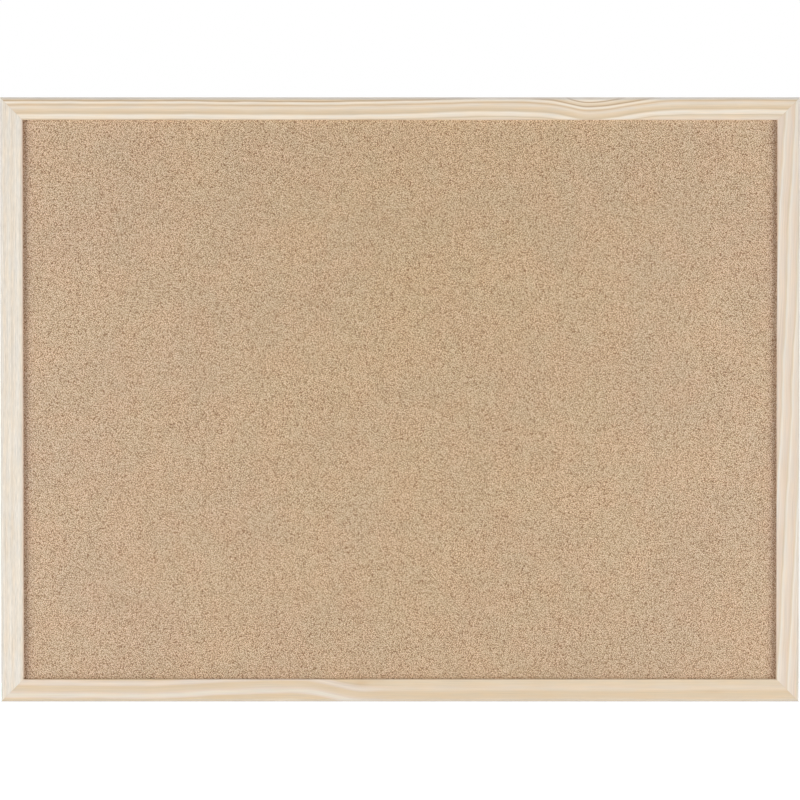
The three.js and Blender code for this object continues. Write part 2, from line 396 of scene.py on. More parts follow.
def mesh_piece(
    name: str, points: Iterable[Sequence[float]], faces: Iterable[Sequence[int]]
) -> bpy.types.Object:
    """Makes a mesh of points and faces, joins the points that coincide and turns the faces outwards.

    Args:
        name: The piece's name.
        points: The vertices.
        faces: The corners of each face.

    Returns:
        The new object, in the scene.
    """
    mesh = bpy.data.meshes.new(name)
    mesh.from_pydata([tuple(point) for point in points], [], [tuple(face) for face in faces])
    mesh.validate()
    work = bmesh.new()
    work.from_mesh(mesh)
    bmesh.ops.remove_doubles(work, verts=work.verts[:], dist=SAME_POINT)
    bmesh.ops.recalc_face_normals(work, faces=work.faces[:])
    work.to_mesh(mesh)
    work.free()
    return into_scene(name, mesh)


def apply_modifier(piece: bpy.types.Object, kind: str, **settings: object) -> None:
    """Adds a modifier and bakes its result into the mesh.

    Args:
        piece: The object to change.
        kind: The modifier's type.
        settings: The modifier's properties.
    """
    modifier = piece.modifiers.new(kind.title(), kind)
    for key, value in settings.items():
        setattr(modifier, key, value)
    graph = bpy.context.evaluated_depsgraph_get()
    result = bpy.data.meshes.new_from_object(piece.evaluated_get(graph))
    old = piece.data
    piece.modifiers.clear()
    piece.data = result
    result.name = piece.name
    bpy.data.meshes.remove(old)


class Joining(Enum):
    """What is done with a second solid."""

    ADDED = "UNION"
    CUT_AWAY = "DIFFERENCE"


def combine(piece: bpy.types.Object, other: bpy.types.Object, how: Joining = Joining.CUT_AWAY) -> None:
    """Cuts another solid out of a piece, or adds it to the piece, and removes the loose one."""
    apply_modifier(piece, "BOOLEAN", operation=how.value, solver="EXACT", object=other)
    bpy.data.objects.remove(other)


def soften(piece: bpy.types.Object, width: float, angle: float = 40.0) -> None:
    """Eases the edges of a piece that are sharper than an angle in degrees, by a width in metres."""
    limit = math.radians(angle)
    apply_modifier(piece, "BEVEL", width=width, segments=2, limit_method="ANGLE", angle_limit=limit)


def shade_smooth(piece: bpy.types.Object, angle: float = 35.0) -> None:
    """Shades a piece smoothly, apart from edges sharper than an angle in degrees."""
    piece.data.shade_smooth()
    piece.data.set_sharp_from_angle(angle=math.radians(angle))


def shift(piece: bpy.types.Object, place: Sequence[float], turn: Matrix | None = None) -> None:
    """Turns the mesh of a piece about the origin, where a turn is given, and moves it to a place."""
    move = Matrix.Translation(place)
    piece.data.transform(move if turn is None else move @ turn)


def tube_faces(rings: int, count: int) -> list[tuple[int, ...]]:
    """The faces of a tube of rings of points that follow one another, and of its two ends.

    Args:
        rings: The number of rings.
        count: The number of points in each.

    Returns:
        The faces.
    """
    last = (rings - 1) * count
    faces = [tuple(range(count)), tuple(range(last + count - 1, last - 1, -1))]
    for low in range(0, last, count):
        high = low + count
        for here in range(count):
            after = (here + 1) % count
            faces.append((low + here, low + after, high + after, high + here))
    return faces


class Axis(Enum):
    """The axis along which a prism is drawn out, by its place among the coordinates."""

    X = 0
    Y = 1
    Z = 2


def prism(
    name: str, outline: Sequence[Pair], low: float, high: float, axis: Axis = Axis.Y
) -> bpy.types.Object:
    """An outline in the plane of two axes, drawn out along the third.

    Args:
        name: The piece's name.
        outline: The corners of the outline, in order.
        low: Where it starts along the axis.
        high: Where it ends.
        axis: The axis along which it is drawn out.

    Returns:
        The prism.
    """
    place = axis.value
    points = [(*corner[:place], level, *corner[place:]) for level in (low, high) for corner in outline]
    return mesh_piece(name, points, tube_faces(2, len(outline)))


def turned(name: str, profile: Sequence[Pair], steps: int) -> bpy.types.Object:
    """A solid turned about an axis along Y.

    Args:
        name: The piece's name.
        profile: Radius and Y of each step, from one end on the axis to the other.
        steps: The number of sides.

    Returns:
        The solid.
    """
    points: list[Point] = []
    rings: list[list[int]] = []
    for radius, depth in profile:
        if radius == 0:
            rings.append([len(points)] * steps)
            points.append((0.0, depth, 0.0))
            continue
        rings.append(list(range(len(points), len(points) + steps)))
        for step in range(steps):
            angle = 2 * math.pi * step / steps
            points.append((radius * math.cos(angle), depth, radius * math.sin(angle)))
    faces = []
    for low, high in zip(rings, rings[1:]):
        for here in range(steps):
            after = (here + 1) % steps
            corners = dict.fromkeys((low[here], low[after], high[after], high[here]))
            faces.append(tuple(corners))
    return mesh_piece(name, points, faces)


def rod(name: str, radius: float, reach: float) -> bpy.types.Object:
    """A round rod along Y, which reaches as far to both sides of the origin and cuts a hole."""
    profile = [(0.0, -reach), (radius, -reach), (radius, reach), (0.0, reach)]
    return turned(name, profile, HOLE_SIDES)


def swept_ring(name: str, line: Sequence[Pair], radius: float, sides: int) -> bpy.types.Object:
    """A round wire that closes on itself along a flat line in X and Z.

    Args:
        name: The piece's name.
        line: The wire's middle line.
        radius: The wire's radius.
        sides: The number of sides of its section.

    Returns:
        The wire.
    """
    count = len(line)
    points, faces = [], []
    for index, (x, z) in enumerate(line):
        after, before = line[(index + 1) % count], line[index - 1]
        run = Vector((after[0] - before[0], after[1] - before[1])).normalized()
        for side in range(sides):
            angle = 2 * math.pi * side / sides
            out, depth = radius * math.cos(angle), radius * math.sin(angle)
            points.append((x + run.y * out, depth, z - run.x * out))
            beside, ahead = (side + 1) % sides, ((index + 1) % count) * sides
            faces.append((index * sides + side, index * sides + beside, ahead + beside, ahead + side))
    return mesh_piece(name, points, faces)


def arc(centre: Pair, radius: float, start: float, end: float, steps: int) -> list[Pair]:
    """Points in so many steps along an arc from one angle in radians to another, both included."""
    angles = (start + (end - start) * step / steps for step in range(steps + 1))
    return [(centre[0] + radius * math.cos(a), centre[1] + radius * math.sin(a)) for a in angles]


def dress(
    piece: bpy.types.Object, material: bpy.types.Material, node: str, body: str = "board"
) -> None:
    """Gives a new piece its material and its body, and hides the CAD node that it stands for.

    Args:
        piece: The finished piece.
        material: Its material.
        node: The node that it replaces.
        body: The body that it rides on.
    """
    piece.data.materials.clear()
    piece.data.materials.append(material)
    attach(piece, body)
    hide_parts(node)
    LOG.info("%s rides on %s, %d faces", piece.name, body, len(piece.data.polygons))


# Pine


class PineTone(Enum):
    """The colours of planed pine, from early wood to late wood."""

    PALE = tone(240, 229, 214)
    CREAM = tone(236, 221, 200)
    STRAW = tone(228, 209, 183)
    TAN = tone(221, 199, 168)
    AMBER = tone(213, 185, 150)
    LINE = tone(196, 168, 136)
    MILK = tone(235, 226, 213)
    ROSE = tone(232, 217, 200)
    BLUSH = tone(227, 208, 189)
    SAND = tone(222, 203, 178)
    OAT = tone(231, 219, 202)
    DUN = tone(214, 194, 165)


@dataclass(frozen=True)
class Swirl:
    """A place where the rings dip, as beside a knot, and come back.

    Attributes:
        centre: Where the dip is deepest, in millimetres along the run.
        before: The dip's reach before that.
        after: Its reach after that.
        shift: How far the rings move inwards.
    """

    centre: float
    before: float
    after: float
    shift: float


@dataclass(frozen=True)
class Slide:
    """A place where the rings slant from one level to another.

    Attributes:
        start: Where the slant begins, in millimetres along the run.
        end: Where it ends.
        shift: How far the rings move inwards in all.
    """

    start: float
    end: float
    shift: float


@dataclass(frozen=True)
class Fleck:
    """A small patch of darker wood, as over a hidden knot.

    Attributes:
        run: Its middle along the length, in millimetres.
        inward: Its middle across the face, from the outer edge.
        length: Its reach along the length.
        width: Its reach across it.
        depth: How strongly it shows.
    """

    run: float
    inward: float
    length: float
    width: float
    depth: float = 0.6


@dataclass(frozen=True)
class GrainFigure:
    """How one length of pine is figured.

    Attributes:
        bands: Places across the face, in millimetres from the outer edge, and their tones.
        sway: The range of the rings' slow waves, in millimetres.
        lines: The strength of the fine growth lines.
        fibres: The strength of the fibre streaks.
        arris_shade: How strongly shade is painted on the outer arris, where its round-over turns away from
            the lamps.
        seed: Keeps one length's noise apart from another's.
        drift: How far the rings move inwards for each millimetre of the run.
        ripple: The range of the rings' quick waves.
        tilt: The slope of the rings through the depth.
        line_pitch: The rough distance of the growth lines.
        fibre_length: The length of a fibre streak.
        fibre_width: Its width.
        shade: The wood's lightness, beside its tones.
        swirls: The dips.
        slides: The slants.
        flecks: The patches of darker wood.
        plain: Where along the run the figure starts to fade to two plain tones, and where it has.
    """

    bands: tuple[tuple[float, PineTone], ...]
    sway: float
    lines: float
    fibres: float
    arris_shade: float
    seed: float
    drift: float = 0.0
    ripple: float = 1.0
    tilt: float = 0.5
    line_pitch: float = 0.9
    fibre_length: float = 30.0
    fibre_width: float = 0.3
    shade: float = 1.0
    swirls: tuple[Swirl, ...] = ()
    slides: tuple[Slide, ...] = ()
    flecks: tuple[Fleck, ...] = ()
    plain: Pair | None = None


TOP_FIGURE = GrainFigure(
    bands=(
        (-8.0, PineTone.TAN),
        (-7.3, PineTone.LINE),
        (-6.6, PineTone.CREAM),
        (-5.4, PineTone.PALE),
        (-4.3, PineTone.STRAW),
        (-3.9, PineTone.LINE),
        (-3.5, PineTone.LINE),
        (-3.0, PineTone.CREAM),
        (-2.1, PineTone.PALE),
        (-1.1, PineTone.CREAM),
        (-0.7, PineTone.LINE),
        (-0.3, PineTone.LINE),
        (0.2, PineTone.CREAM),
        (2.2, PineTone.TAN),
        (2.7, PineTone.LINE),
        (3.0, PineTone.LINE),
        (3.6, PineTone.CREAM),
        (4.3, PineTone.PALE),
        (5.3, PineTone.STRAW),
        (6.0, PineTone.AMBER),
        (6.7, PineTone.STRAW),
        (7.9, PineTone.ROSE),
        (9.4, PineTone.STRAW),
        (11.2, PineTone.TAN),
        (12.3, PineTone.DUN),
        (13.1, PineTone.CREAM),
        (13.9, PineTone.PALE),
        (15.9, PineTone.CREAM),
        (16.8, PineTone.DUN),
        (17.4, PineTone.STRAW),
        (21.0, PineTone.ROSE),
    ),
    swirls=(Swirl(143.0, 21.0, 38.0, 6.4), Swirl(75.0, 60.0, 50.0, -1.9), Swirl(-60.0, 60.0, 40.0, 0.7)),
    slides=(Slide(90.0, 215.0, -3.6), Slide(250.0, 310.0, 0.5)),
    sway=1.4,
    lines=0.2,
    fibres=0.26,
    fibre_length=22.0,
    fibre_width=0.38,
    tilt=0.7,
    arris_shade=0.8,
    seed=3.0,
)
BOTTOM_FIGURE = GrainFigure(
    bands=(
        (-6.0, PineTone.CREAM),
        (-2.0, PineTone.STRAW),
        (0.0, PineTone.TAN),
        (2.7, PineTone.TAN),
        (3.4, PineTone.BLUSH),
        (4.6, PineTone.OAT),
        (6.2, PineTone.OAT),
        (7.4, PineTone.BLUSH),
        (8.4, PineTone.SAND),
        (12.2, PineTone.TAN),
        (13.2, PineTone.BLUSH),
        (14.6, PineTone.ROSE),
        (16.4, PineTone.BLUSH),
        (17.6, PineTone.TAN),
        (20.0, PineTone.TAN),
        (22.0, PineTone.SAND),
        (24.0, PineTone.STRAW),
        (31.0, PineTone.STRAW),
    ),
    swirls=(Swirl(-84.0, 75.0, 34.0, 3.4), Swirl(-190.0, 40.0, 40.0, -1.2)),
    slides=(Slide(-72.0, -24.0, -5.4), Slide(20.0, 120.0, 0.8)),
    sway=2.0,
    lines=0.2,
    fibres=0.22,
    fibre_width=0.36,
    shade=0.975,
    flecks=(Fleck(-29.5, 14.0, 5.5, 2.0), Fleck(236.0, 7.5, 9.0, 1.0, 0.4)),
    plain=(-40.0, 10.0),
    arris_shade=0.4,
    seed=11.0,
)
LEFT_FIGURE = GrainFigure(
    bands=(
        (-4.0, PineTone.OAT),
        (1.6, PineTone.MILK),
        (3.8, PineTone.OAT),
        (7.4, PineTone.MILK),
        (8.9, PineTone.OAT),
        (12.4, PineTone.MILK),
        # The pale bands at 14.4 and 15.8 mm, by the inner edge, are partly the wood's tone and partly a
        # painted highlight along that edge.
        (14.4, PineTone.MILK),
        (15.8, PineTone.OAT),
        (17.2, PineTone.BLUSH),
        (22.0, PineTone.ROSE),
    ),
    sway=1.2,
    lines=0.6,
    line_pitch=0.5,
    fibres=0.6,
    fibre_length=7.0,
    fibre_width=0.42,
    shade=0.962,
    arris_shade=0.3,
    tilt=0.15,
    ripple=0.4,
    seed=23.0,
)
RIGHT_FIGURE = GrainFigure(
    bands=tuple(
        (start + offset, band)
        for start in (-26.0, -18.6, -11.4, -3.6, 4.2, 11.8, 19.4)
        for offset, band in (
            (0.0, PineTone.ROSE),
            (1.4, PineTone.MILK),
            (2.7, PineTone.SAND),
            (3.8, PineTone.BLUSH),
        )
    ),
    drift=0.047,
    sway=3.6,
    lines=0.3,
    fibres=0.22,
    shade=0.966,
    tilt=0.4,
    ripple=1.8,
    arris_shade=0.4,
    seed=37.0,
)
FIGURES = {
    Side.TOP: TOP_FIGURE,
    Side.BOTTOM: BOTTOM_FIGURE,
    Side.LEFT: LEFT_FIGURE,
    Side.RIGHT: RIGHT_FIGURE,
}


@dataclass(frozen=True)
class PineFinish:
    """Planed softwood with rings, growth lines and fibres along one side of the frame.

    Attributes:
        side: The side of the frame.
        plan: The board's planes.
        figure: How the wood is figured.
        heart: How far inwards the plain wood passes from its darker to its lighter tone.
        heart_share: How far the plain wood hides the rings.
        arris: How far inwards the painted shade on the outer arris is fullest, and where it ends.
        arris_back: The same, back from the front.
        joint_width: The width of the darker strip beside a mitre.
        joint_share: How strongly it shows.
        canal: The length and width of a resin canal's dark streak.
        canal_noise: The noise where a canal starts, and where it is darkest.
        growth_reach: How far a growth line keeps its strength, along the run and back.
        mottle: The length and width of the patches of lighter and darker wood.
        patch: The length and width of the patches of warmer and cooler wood.
        slow: The length and width of the rings' slow waves.
        quick: The length and width of their quick waves.
        contrast: How strongly mottle and canals show.
        rough: The least roughness, and what the fibres add.
        sheen: The strength of the gloss.
        relief: The height of the grain, in metres.
        heights: The shares in it of the fibres, the growth lines and the sunk canals.
        dust_and_shade: The colour of the painted shade on the outer arris.
        warm: The tint of the warmer patches.
        cool: The tint of the cooler patches.
    """

    side: Side
    plan: BoardPlan
    figure: GrainFigure
    heart: Pair = (7.5, 10.0)
    heart_share: float = 0.7
    arris: Pair = (0.6, 3.1)
    arris_back: Pair = (1.4, 3.2)
    joint_width: float = 0.3
    joint_share: float = 0.25
    canal: Pair = (5.0, 0.3)
    canal_noise: Pair = (0.64, 0.76)
    growth_reach: Pair = (70.0, 40.0)
    mottle: Pair = (38.0, 9.0)
    patch: Pair = (24.0, 3.5)
    slow: Pair = (95.0, 60.0)
    quick: Pair = (22.0, 7.0)
    contrast: float = 0.1
    rough: Pair = (0.46, 0.2)
    sheen: float = 0.35
    relief: float = 0.06 * MM
    heights: tuple[float, float, float] = (0.7, 0.3, -0.4)
    dust_and_shade: Colour = tone(200, 196, 190)
    warm: Colour = (1.016, 0.997, 0.974, 1.0)
    cool: Colour = (0.986, 1.0, 1.026, 1.0)

    def build(self) -> bpy.types.Material:
        """Makes the material.

        Returns:
            The material.
        """
        finish, figure = NodeFinish(f"pine_{self.side.name.lower()}"), self.figure
        place = self._coordinates(finish)
        run, inward, depth = place
        ring = self._ring(finish, run, inward, depth)
        colour = self._arris_shade_and_joints(finish, place, self._figured(finish, place, ring))
        fine, even = Noise(detail=3.0, rough=0.6), Noise()
        fibres = self._drawn_out(finish, place, (figure.fibre_length, figure.fibre_width), fine)
        canals = self._drawn_out(finish, place, self.canal, fine).smooth(*self.canal_noise)
        along, back = self.growth_reach
        line_place = finish.vector(run / along, ring / figure.line_pitch, depth / back)
        growth = finish.noise(line_place, Noise(rough=0.6))
        mottle = self._drawn_out(finish, place, self.mottle, even)
        patch = self._drawn_out(finish, place, self.patch, even)
        light = (growth - MEAN) * figure.lines + (fibres - MEAN) * figure.fibres
        light = light + (mottle - MEAN) * self.contrast - canals * self.contrast + figure.shade
        colour = finish.scaled(colour, light)
        finish.feed("Base Color", finish.tinted(colour, patch.smooth(*PATCHES), self.warm, self.cool))
        finish.feed("Roughness", fibres.ranged(*self.rough))
        finish.feed("Specular IOR Level", self.sheen)
        height, line_height, canal_height = self.heights
        finish.bump(fibres * height + growth * line_height + canals * canal_height, self.relief)
        return finish.material

    def _figured(self, finish: NodeFinish, place: Values, ring: Value) -> Value:
        """The colour of the rings, the plain wood and the flecks.

        Args:
            finish: The material under construction.
            place: The run, the distance inwards and the depth.
            ring: The place across the growth rings.

        Returns:
            The colour.
        """
        run, inward, _ = place
        low = self.figure.bands[0][0]
        span = self.figure.bands[-1][0] - low
        stops = [((level - low) / span, band.value) for level, band in self.figure.bands]
        colour = finish.ramp((ring - low) / span, stops)
        if self.figure.plain:
            heart = finish.mix(inward.smooth(*self.heart), PineTone.TAN.value, PineTone.STRAW.value)
            colour = finish.mix(run.smooth(*self.figure.plain) * self.heart_share, colour, heart)
        for fleck in self.figure.flecks:
            along, across = (run - fleck.run) / fleck.length, (inward - fleck.inward) / fleck.width
            share = ((along * along + across * across) * -1.0).exp() * fleck.depth
            colour = finish.mix(share, colour, PineTone.AMBER.value)
        return colour

    def _arris_shade_and_joints(self, finish: NodeFinish, place: Values, colour: Value) -> Value:
        """The wood's colour with painted shade on the outer arris and the darker strips beside the mitres.

        Args:
            finish: The material under construction.
            place: The run, the distance inwards and the depth.
            colour: The wood's colour.

        Returns:
            The colour.
        """
        run, inward, depth = place
        # Painted shade: the outer arris is greyed where its round-over turns away from the lamps, most on
        # the top rail.
        dust_and_shade = (1.0 - inward.smooth(*self.arris)) * (1.0 - depth.smooth(*self.arris_back))
        colour = finish.mix(dust_and_shade * self.figure.arris_shade, colour, self.dust_and_shade)
        to_mitre = run.maths("ABSOLUTE") * -1.0 - inward + self.plan.length(self.side) / 2 / MM
        joint = (1.0 - to_mitre.smooth(0.0, self.joint_width)) * self.joint_share
        return finish.mix(joint, colour, PineTone.LINE.value)

    @staticmethod
    def _drawn_out(finish: NodeFinish, place: Values, size: Pair, kind: Noise) -> Value:
        """Noise that is drawn out along the wood's run.

        Args:
            finish: The material under construction.
            place: The run, the distance inwards and the depth.
            size: The length and width of its streaks or patches.
            kind: The noise.

        Returns:
            The noise.
        """
        run, inward, depth = place
        length, width = size
        return finish.noise(finish.vector(run / length, inward / width, depth / width), kind)

    def _coordinates(self, finish: NodeFinish) -> Values:
        """Places along the side, inwards from its outer edge and back from its front, in millimetres.

        Args:
            finish: The material under construction.

        Returns:
            The run (to the right, or down), the distance inwards and the depth.
        """
        across, deep, up = finish.parts(finish.millimetres())
        half_width, half_height = self.plan.half_width / MM, self.plan.half_height / MM
        inward = {
            Side.BOTTOM: up + half_height,
            Side.TOP: half_height - up,
            Side.LEFT: across + half_width,
            Side.RIGHT: half_width - across,
        }[self.side]
        run = up * -1.0 if self.side.upright else across
        return run, inward, deep - self.plan.front / MM

    def _ring(self, finish: NodeFinish, run: Value, inward: Value, depth: Value) -> Value:
        """The place across the growth rings, in millimetres.

        Args:
            finish: The material under construction.
            run: The place along the side.
            inward: The distance from the outer edge.
            depth: The distance behind the front.

        Returns:
            The ring coordinate, which equals the distance inwards where nothing bends the rings.
        """
        figure, wave = self.figure, Noise(detail=1.0, rough=0.4)
        slow_place = finish.vector(run / self.slow[0] + figure.seed, inward / self.slow[1], figure.seed)
        quick_place = finish.vector(run / self.quick[0], inward / self.quick[1], figure.seed * 2)
        slow, quick = finish.noise(slow_place, wave), finish.noise(quick_place, wave)
        ring = inward + depth * figure.tilt - run * figure.drift
        ring = ring + (slow - MEAN) * figure.sway + (quick - MEAN) * figure.ripple
        for swirl in figure.swirls:
            past = run > swirl.centre
            reach = swirl.before + past * (swirl.after - swirl.before)
            share = (run - swirl.centre) / reach
            ring = ring - (share * share * -1.0).exp() * swirl.shift
        for slide in figure.slides:
            ring = ring - run.smooth(slide.start, slide.end) * slide.shift
        return ring


# Other finishes


@dataclass(frozen=True)
class CorkFinish:
    """Pressed cork: fine and coarse granules among each other, some dark with bark.

    Attributes:
        half_opening: From the sheet's middle to the frame's stiles, in millimetres.
        fine: The distance between fine granules.
        coarse: The distance between coarse granules.
        coarse_from: The noise above which the granules are coarse: 0.5 is half of them.
        turn: The turn that keeps the granules' lattice off the sheet's edges, in radians.
        warp: How far their outlines are bent out of shape.
        joint: How wide the dark joint round a granule is, as a share of the granule.
        joint_depth: How much darker the joint is.
        dome_shade: How much brighter a granule's middle is painted than its rim, as painted shade on a
            dome.
        even: The distance from a granule's middle, in granules, where the painted dome shade leaves its
            tone the sheet's own.
        spread: How far the granules' tones stray from each other.
        bark_share: The part of the granules that is bark.
        bark_depth: How strongly it shows.
        filled: How full a granule is on the whole, so that the joints leave the mean tone alone.
        crumb: The noise of the crumbs in the granules.
        crumb_depth: How much lighter or darker they are.
        bend: The noise that bends the granules' outlines.
        mixing: The noise that tells coarse granules from fine ones.
        patch: The patches of warmer and cooler cork.
        cloud: The wide clouds of lighter and duller cork.
        goldest_place: The place on the sheet where the cork is most golden, to the right and up.
        palest_reach: The distance from there to the side at which it is palest.
        reach_up_weight: How much less a step up or down counts.
        low_strip: Where the tint of the lower cork starts to end, and where it ends, up the sheet.
        edge: The width of the painted shadow beside each stile.
        rough: The least roughness, and what the crumbs add.
        sheen: The strength of the gloss.
        relief: The height of the granules, in metres.
        heights: The shares in it of the granules and the crumbs.
        stops: The tones from the joints to the brightest granules.
        bark: The colour of bark.
        warm: The tint of the warmer patches.
        cool: The tint of the cooler patches.
        golden: The tint of the lighter clouds.
        greyer: The tint of the duller clouds.
        goldest_tint: The tint of the most golden cork.
        palest_tint: The tint of the palest cork.
        lower: The tint of the cork along the bottom rail.
        plain: No tint.
        stile_shadow: The tint of the painted shadow beside a stile, which deepens the shadow that the lip
            casts there.
    """

    half_opening: float
    fine: float = 0.92
    coarse: float = 1.2
    coarse_from: float = 0.5
    turn: float = 0.55
    warp: float = 0.22
    joint: float = 0.15
    joint_depth: float = 0.36
    dome_shade: float = 0.8
    even: float = 0.42
    spread: float = 0.2
    bark_share: float = 0.05
    bark_depth: float = 0.65
    filled: float = 0.85
    crumb: Noise = Noise(3.2, 2.0, 0.6)
    crumb_depth: float = 0.25
    bend: Noise = Noise(1.6)
    mixing: Noise = Noise(0.7, 1.0)
    patch: Noise = Noise(1 / 22.0)
    cloud: Noise = Noise(1 / 60.0)
    goldest_place: Pair = (25.0, 105.0)
    palest_reach: float = 440.0
    reach_up_weight: float = 0.5
    low_strip: Pair = (-210.0, -20.0)
    edge: float = 10.0
    rough: Pair = (0.86, 0.12)
    sheen: float = 0.2
    relief: float = 0.08 * MM
    heights: Pair = (0.6, 0.4)
    stops: tuple[tuple[float, Colour], ...] = (
        (0.0, tone(112, 80, 54)),
        (0.5, tone(206, 176, 140)),
        (1.0, tone(252, 238, 214)),
    )
    bark: Colour = tone(138, 98, 68)
    warm: Colour = (1.02, 0.995, 0.985, 1.0)
    cool: Colour = (0.99, 1.004, 1.0, 1.0)
    golden: Colour = (1.012, 1.01, 1.0, 1.0)
    greyer: Colour = (0.988, 0.99, 1.0, 1.0)
    goldest_tint: Colour = (0.99, 0.97, 0.928, 1.0)
    palest_tint: Colour = (1.024, 1.02, 1.1, 1.0)
    lower: Colour = (0.986, 0.981, 0.98, 1.0)
    plain: Colour = (1.0, 1.0, 1.0, 1.0)
    stile_shadow: Colour = (0.885, 0.858, 0.89, 1.0)

    def build(self) -> bpy.types.Material:
        """Makes the material.

        Returns:
            The material.
        """
        finish = NodeFinish("cork")
        place = finish.millimetres()
        across, flat, up = self._bent(finish, place)
        both = zip(self._granules(finish, flat, self.fine), self._granules(finish, flat, self.coarse))
        is_coarse = finish.noise(place, self.mixing) > self.coarse_from
        share, bark, body = (fine + is_coarse * (coarse - fine) for fine, coarse in both)
        crumb = finish.noise(place, self.crumb)
        share = share + (crumb - MEAN) * self.crumb_depth + MEAN
        right, above = across - self.goldest_place[0], (up - self.goldest_place[1]) * self.reach_up_weight
        distance = (right * right + above * above).maths("SQRT")
        to_stile = self.half_opening - across.maths("ABSOLUTE")
        colour = finish.ramp(share, self.stops)
        for factor, first, second in (
            (finish.noise(place, self.patch).smooth(*PATCHES), self.warm, self.cool),
            (finish.noise(place, self.cloud).smooth(*PATCHES), self.golden, self.greyer),
            # A wide tint, most golden up and right of the middle and palest towards the sides.
            (distance / self.palest_reach, self.goldest_tint, self.palest_tint),
            (up.smooth(*self.low_strip), self.lower, self.plain),
            # Painted shadow: a strip of cork beside each stile is darkened, deepening the lip's shadow
            # there.
            (1.0 - to_stile.smooth(0.0, self.edge), self.plain, self.stile_shadow),
        ):
            colour = finish.tinted(colour, factor, first, second)
        finish.feed("Base Color", finish.mix(bark * self.bark_depth, colour, self.bark))
        finish.feed("Roughness", crumb.ranged(*self.rough))
        finish.feed("Specular IOR Level", self.sheen)
        finish.bump(body * self.heights[0] + crumb * self.heights[1], self.relief)
        return finish.material

    def _bent(self, finish: NodeFinish, place: Value) -> Values:
        """The place on the sheet, bent a little so that no outline is straight.

        Args:
            finish: The material under construction.
            place: The place, in millimetres.

        Returns:
            The distance across, the place turned for the granules as a vector, and the distance up.
        """
        waves = {"Vector": place, "Scale": self.bend.waves, "Detail": self.bend.detail}
        bend = finish.add("ShaderNodeTexNoise", sockets=waves, output="Color")
        bending = {0: bend, 1: (self.warp, self.warp, self.warp), 2: place}
        bent = finish.add("ShaderNodeVectorMath", {"operation": "MULTIPLY_ADD"}, bending)
        across, _, up = finish.parts(bent)
        turning = {"Vector": finish.vector(across, up, 0.0), "Angle": self.turn}
        return across, finish.add("ShaderNodeVectorRotate", {"rotation_type": "Z_AXIS"}, turning), up

    def _granules(self, finish: NodeFinish, flat: Value, size: float) -> Values:
        """Granules of one size.

        Args:
            finish: The material under construction.
            flat: The place on the sheet, in millimetres.
            size: The distance between granules.

        Returns:
            Their tone about nought with the painted shade of their domes, where they are bark, and their
            height from 0 to 1.
        """
        cells = {"Vector": flat, "Scale": 1 / size, "Randomness": 1.0}
        nearest = {"feature": "F1", "voronoi_dimensions": "2D"}
        to_edge = {"feature": "DISTANCE_TO_EDGE", "voronoi_dimensions": "2D"}
        granules = finish.node("ShaderNodeTexVoronoi", nearest, cells)
        distance = Value(finish, granules.outputs["Distance"])
        chance, _, kind = finish.parts(Value(finish, granules.outputs["Color"]))
        body = finish.add("ShaderNodeTexVoronoi", to_edge, cells).smooth(0.0, self.joint)
        # The joints darken with the cork's own colour; the part that falls with the distance from a
        # granule's middle is painted shade, as on a dome.
        share = (body - self.filled) * self.joint_depth + (self.even - distance) * self.dome_shade
        share = share + (chance - MEAN) * self.spread
        return share, (kind > 1.0 - self.bark_share) * body, body


@dataclass(frozen=True)
class FibreFinish:
    """Softboard: felted wood fibre.

    Attributes:
        light: The colour of its loose fibres.
        dark: The colour between them.
        fibre: The noise of the fibres.
        felt: The clouds in the felt.
        loose: The noise between which a fibre stands out.
        light_range: The least lightness, and what the clouds add.
        rough: The roughness.
        relief: The height of the fibres, in metres.
    """

    light: Colour = tone(188, 164, 128)
    dark: Colour = tone(152, 124, 90)
    fibre: Noise = Noise(1.3, 5.0, 0.7)
    felt: Noise = Noise(0.12, 3.0)
    loose: Pair = (0.3, 0.7)
    light_range: Pair = (0.95, 0.1)
    rough: float = 0.95
    relief: float = 0.2 * MM

    def build(self) -> bpy.types.Material:
        """Makes the material.

        Returns:
            The material.
        """
        finish = NodeFinish("softboard")
        place = finish.millimetres()
        fibres, felt = finish.noise(place, self.fibre), finish.noise(place, self.felt)
        colour = finish.mix(fibres.smooth(*self.loose), self.dark, self.light)
        finish.feed("Base Color", finish.scaled(colour, felt.ranged(*self.light_range)))
        finish.feed("Roughness", self.rough)
        finish.bump(fibres, self.relief)
        return finish.material


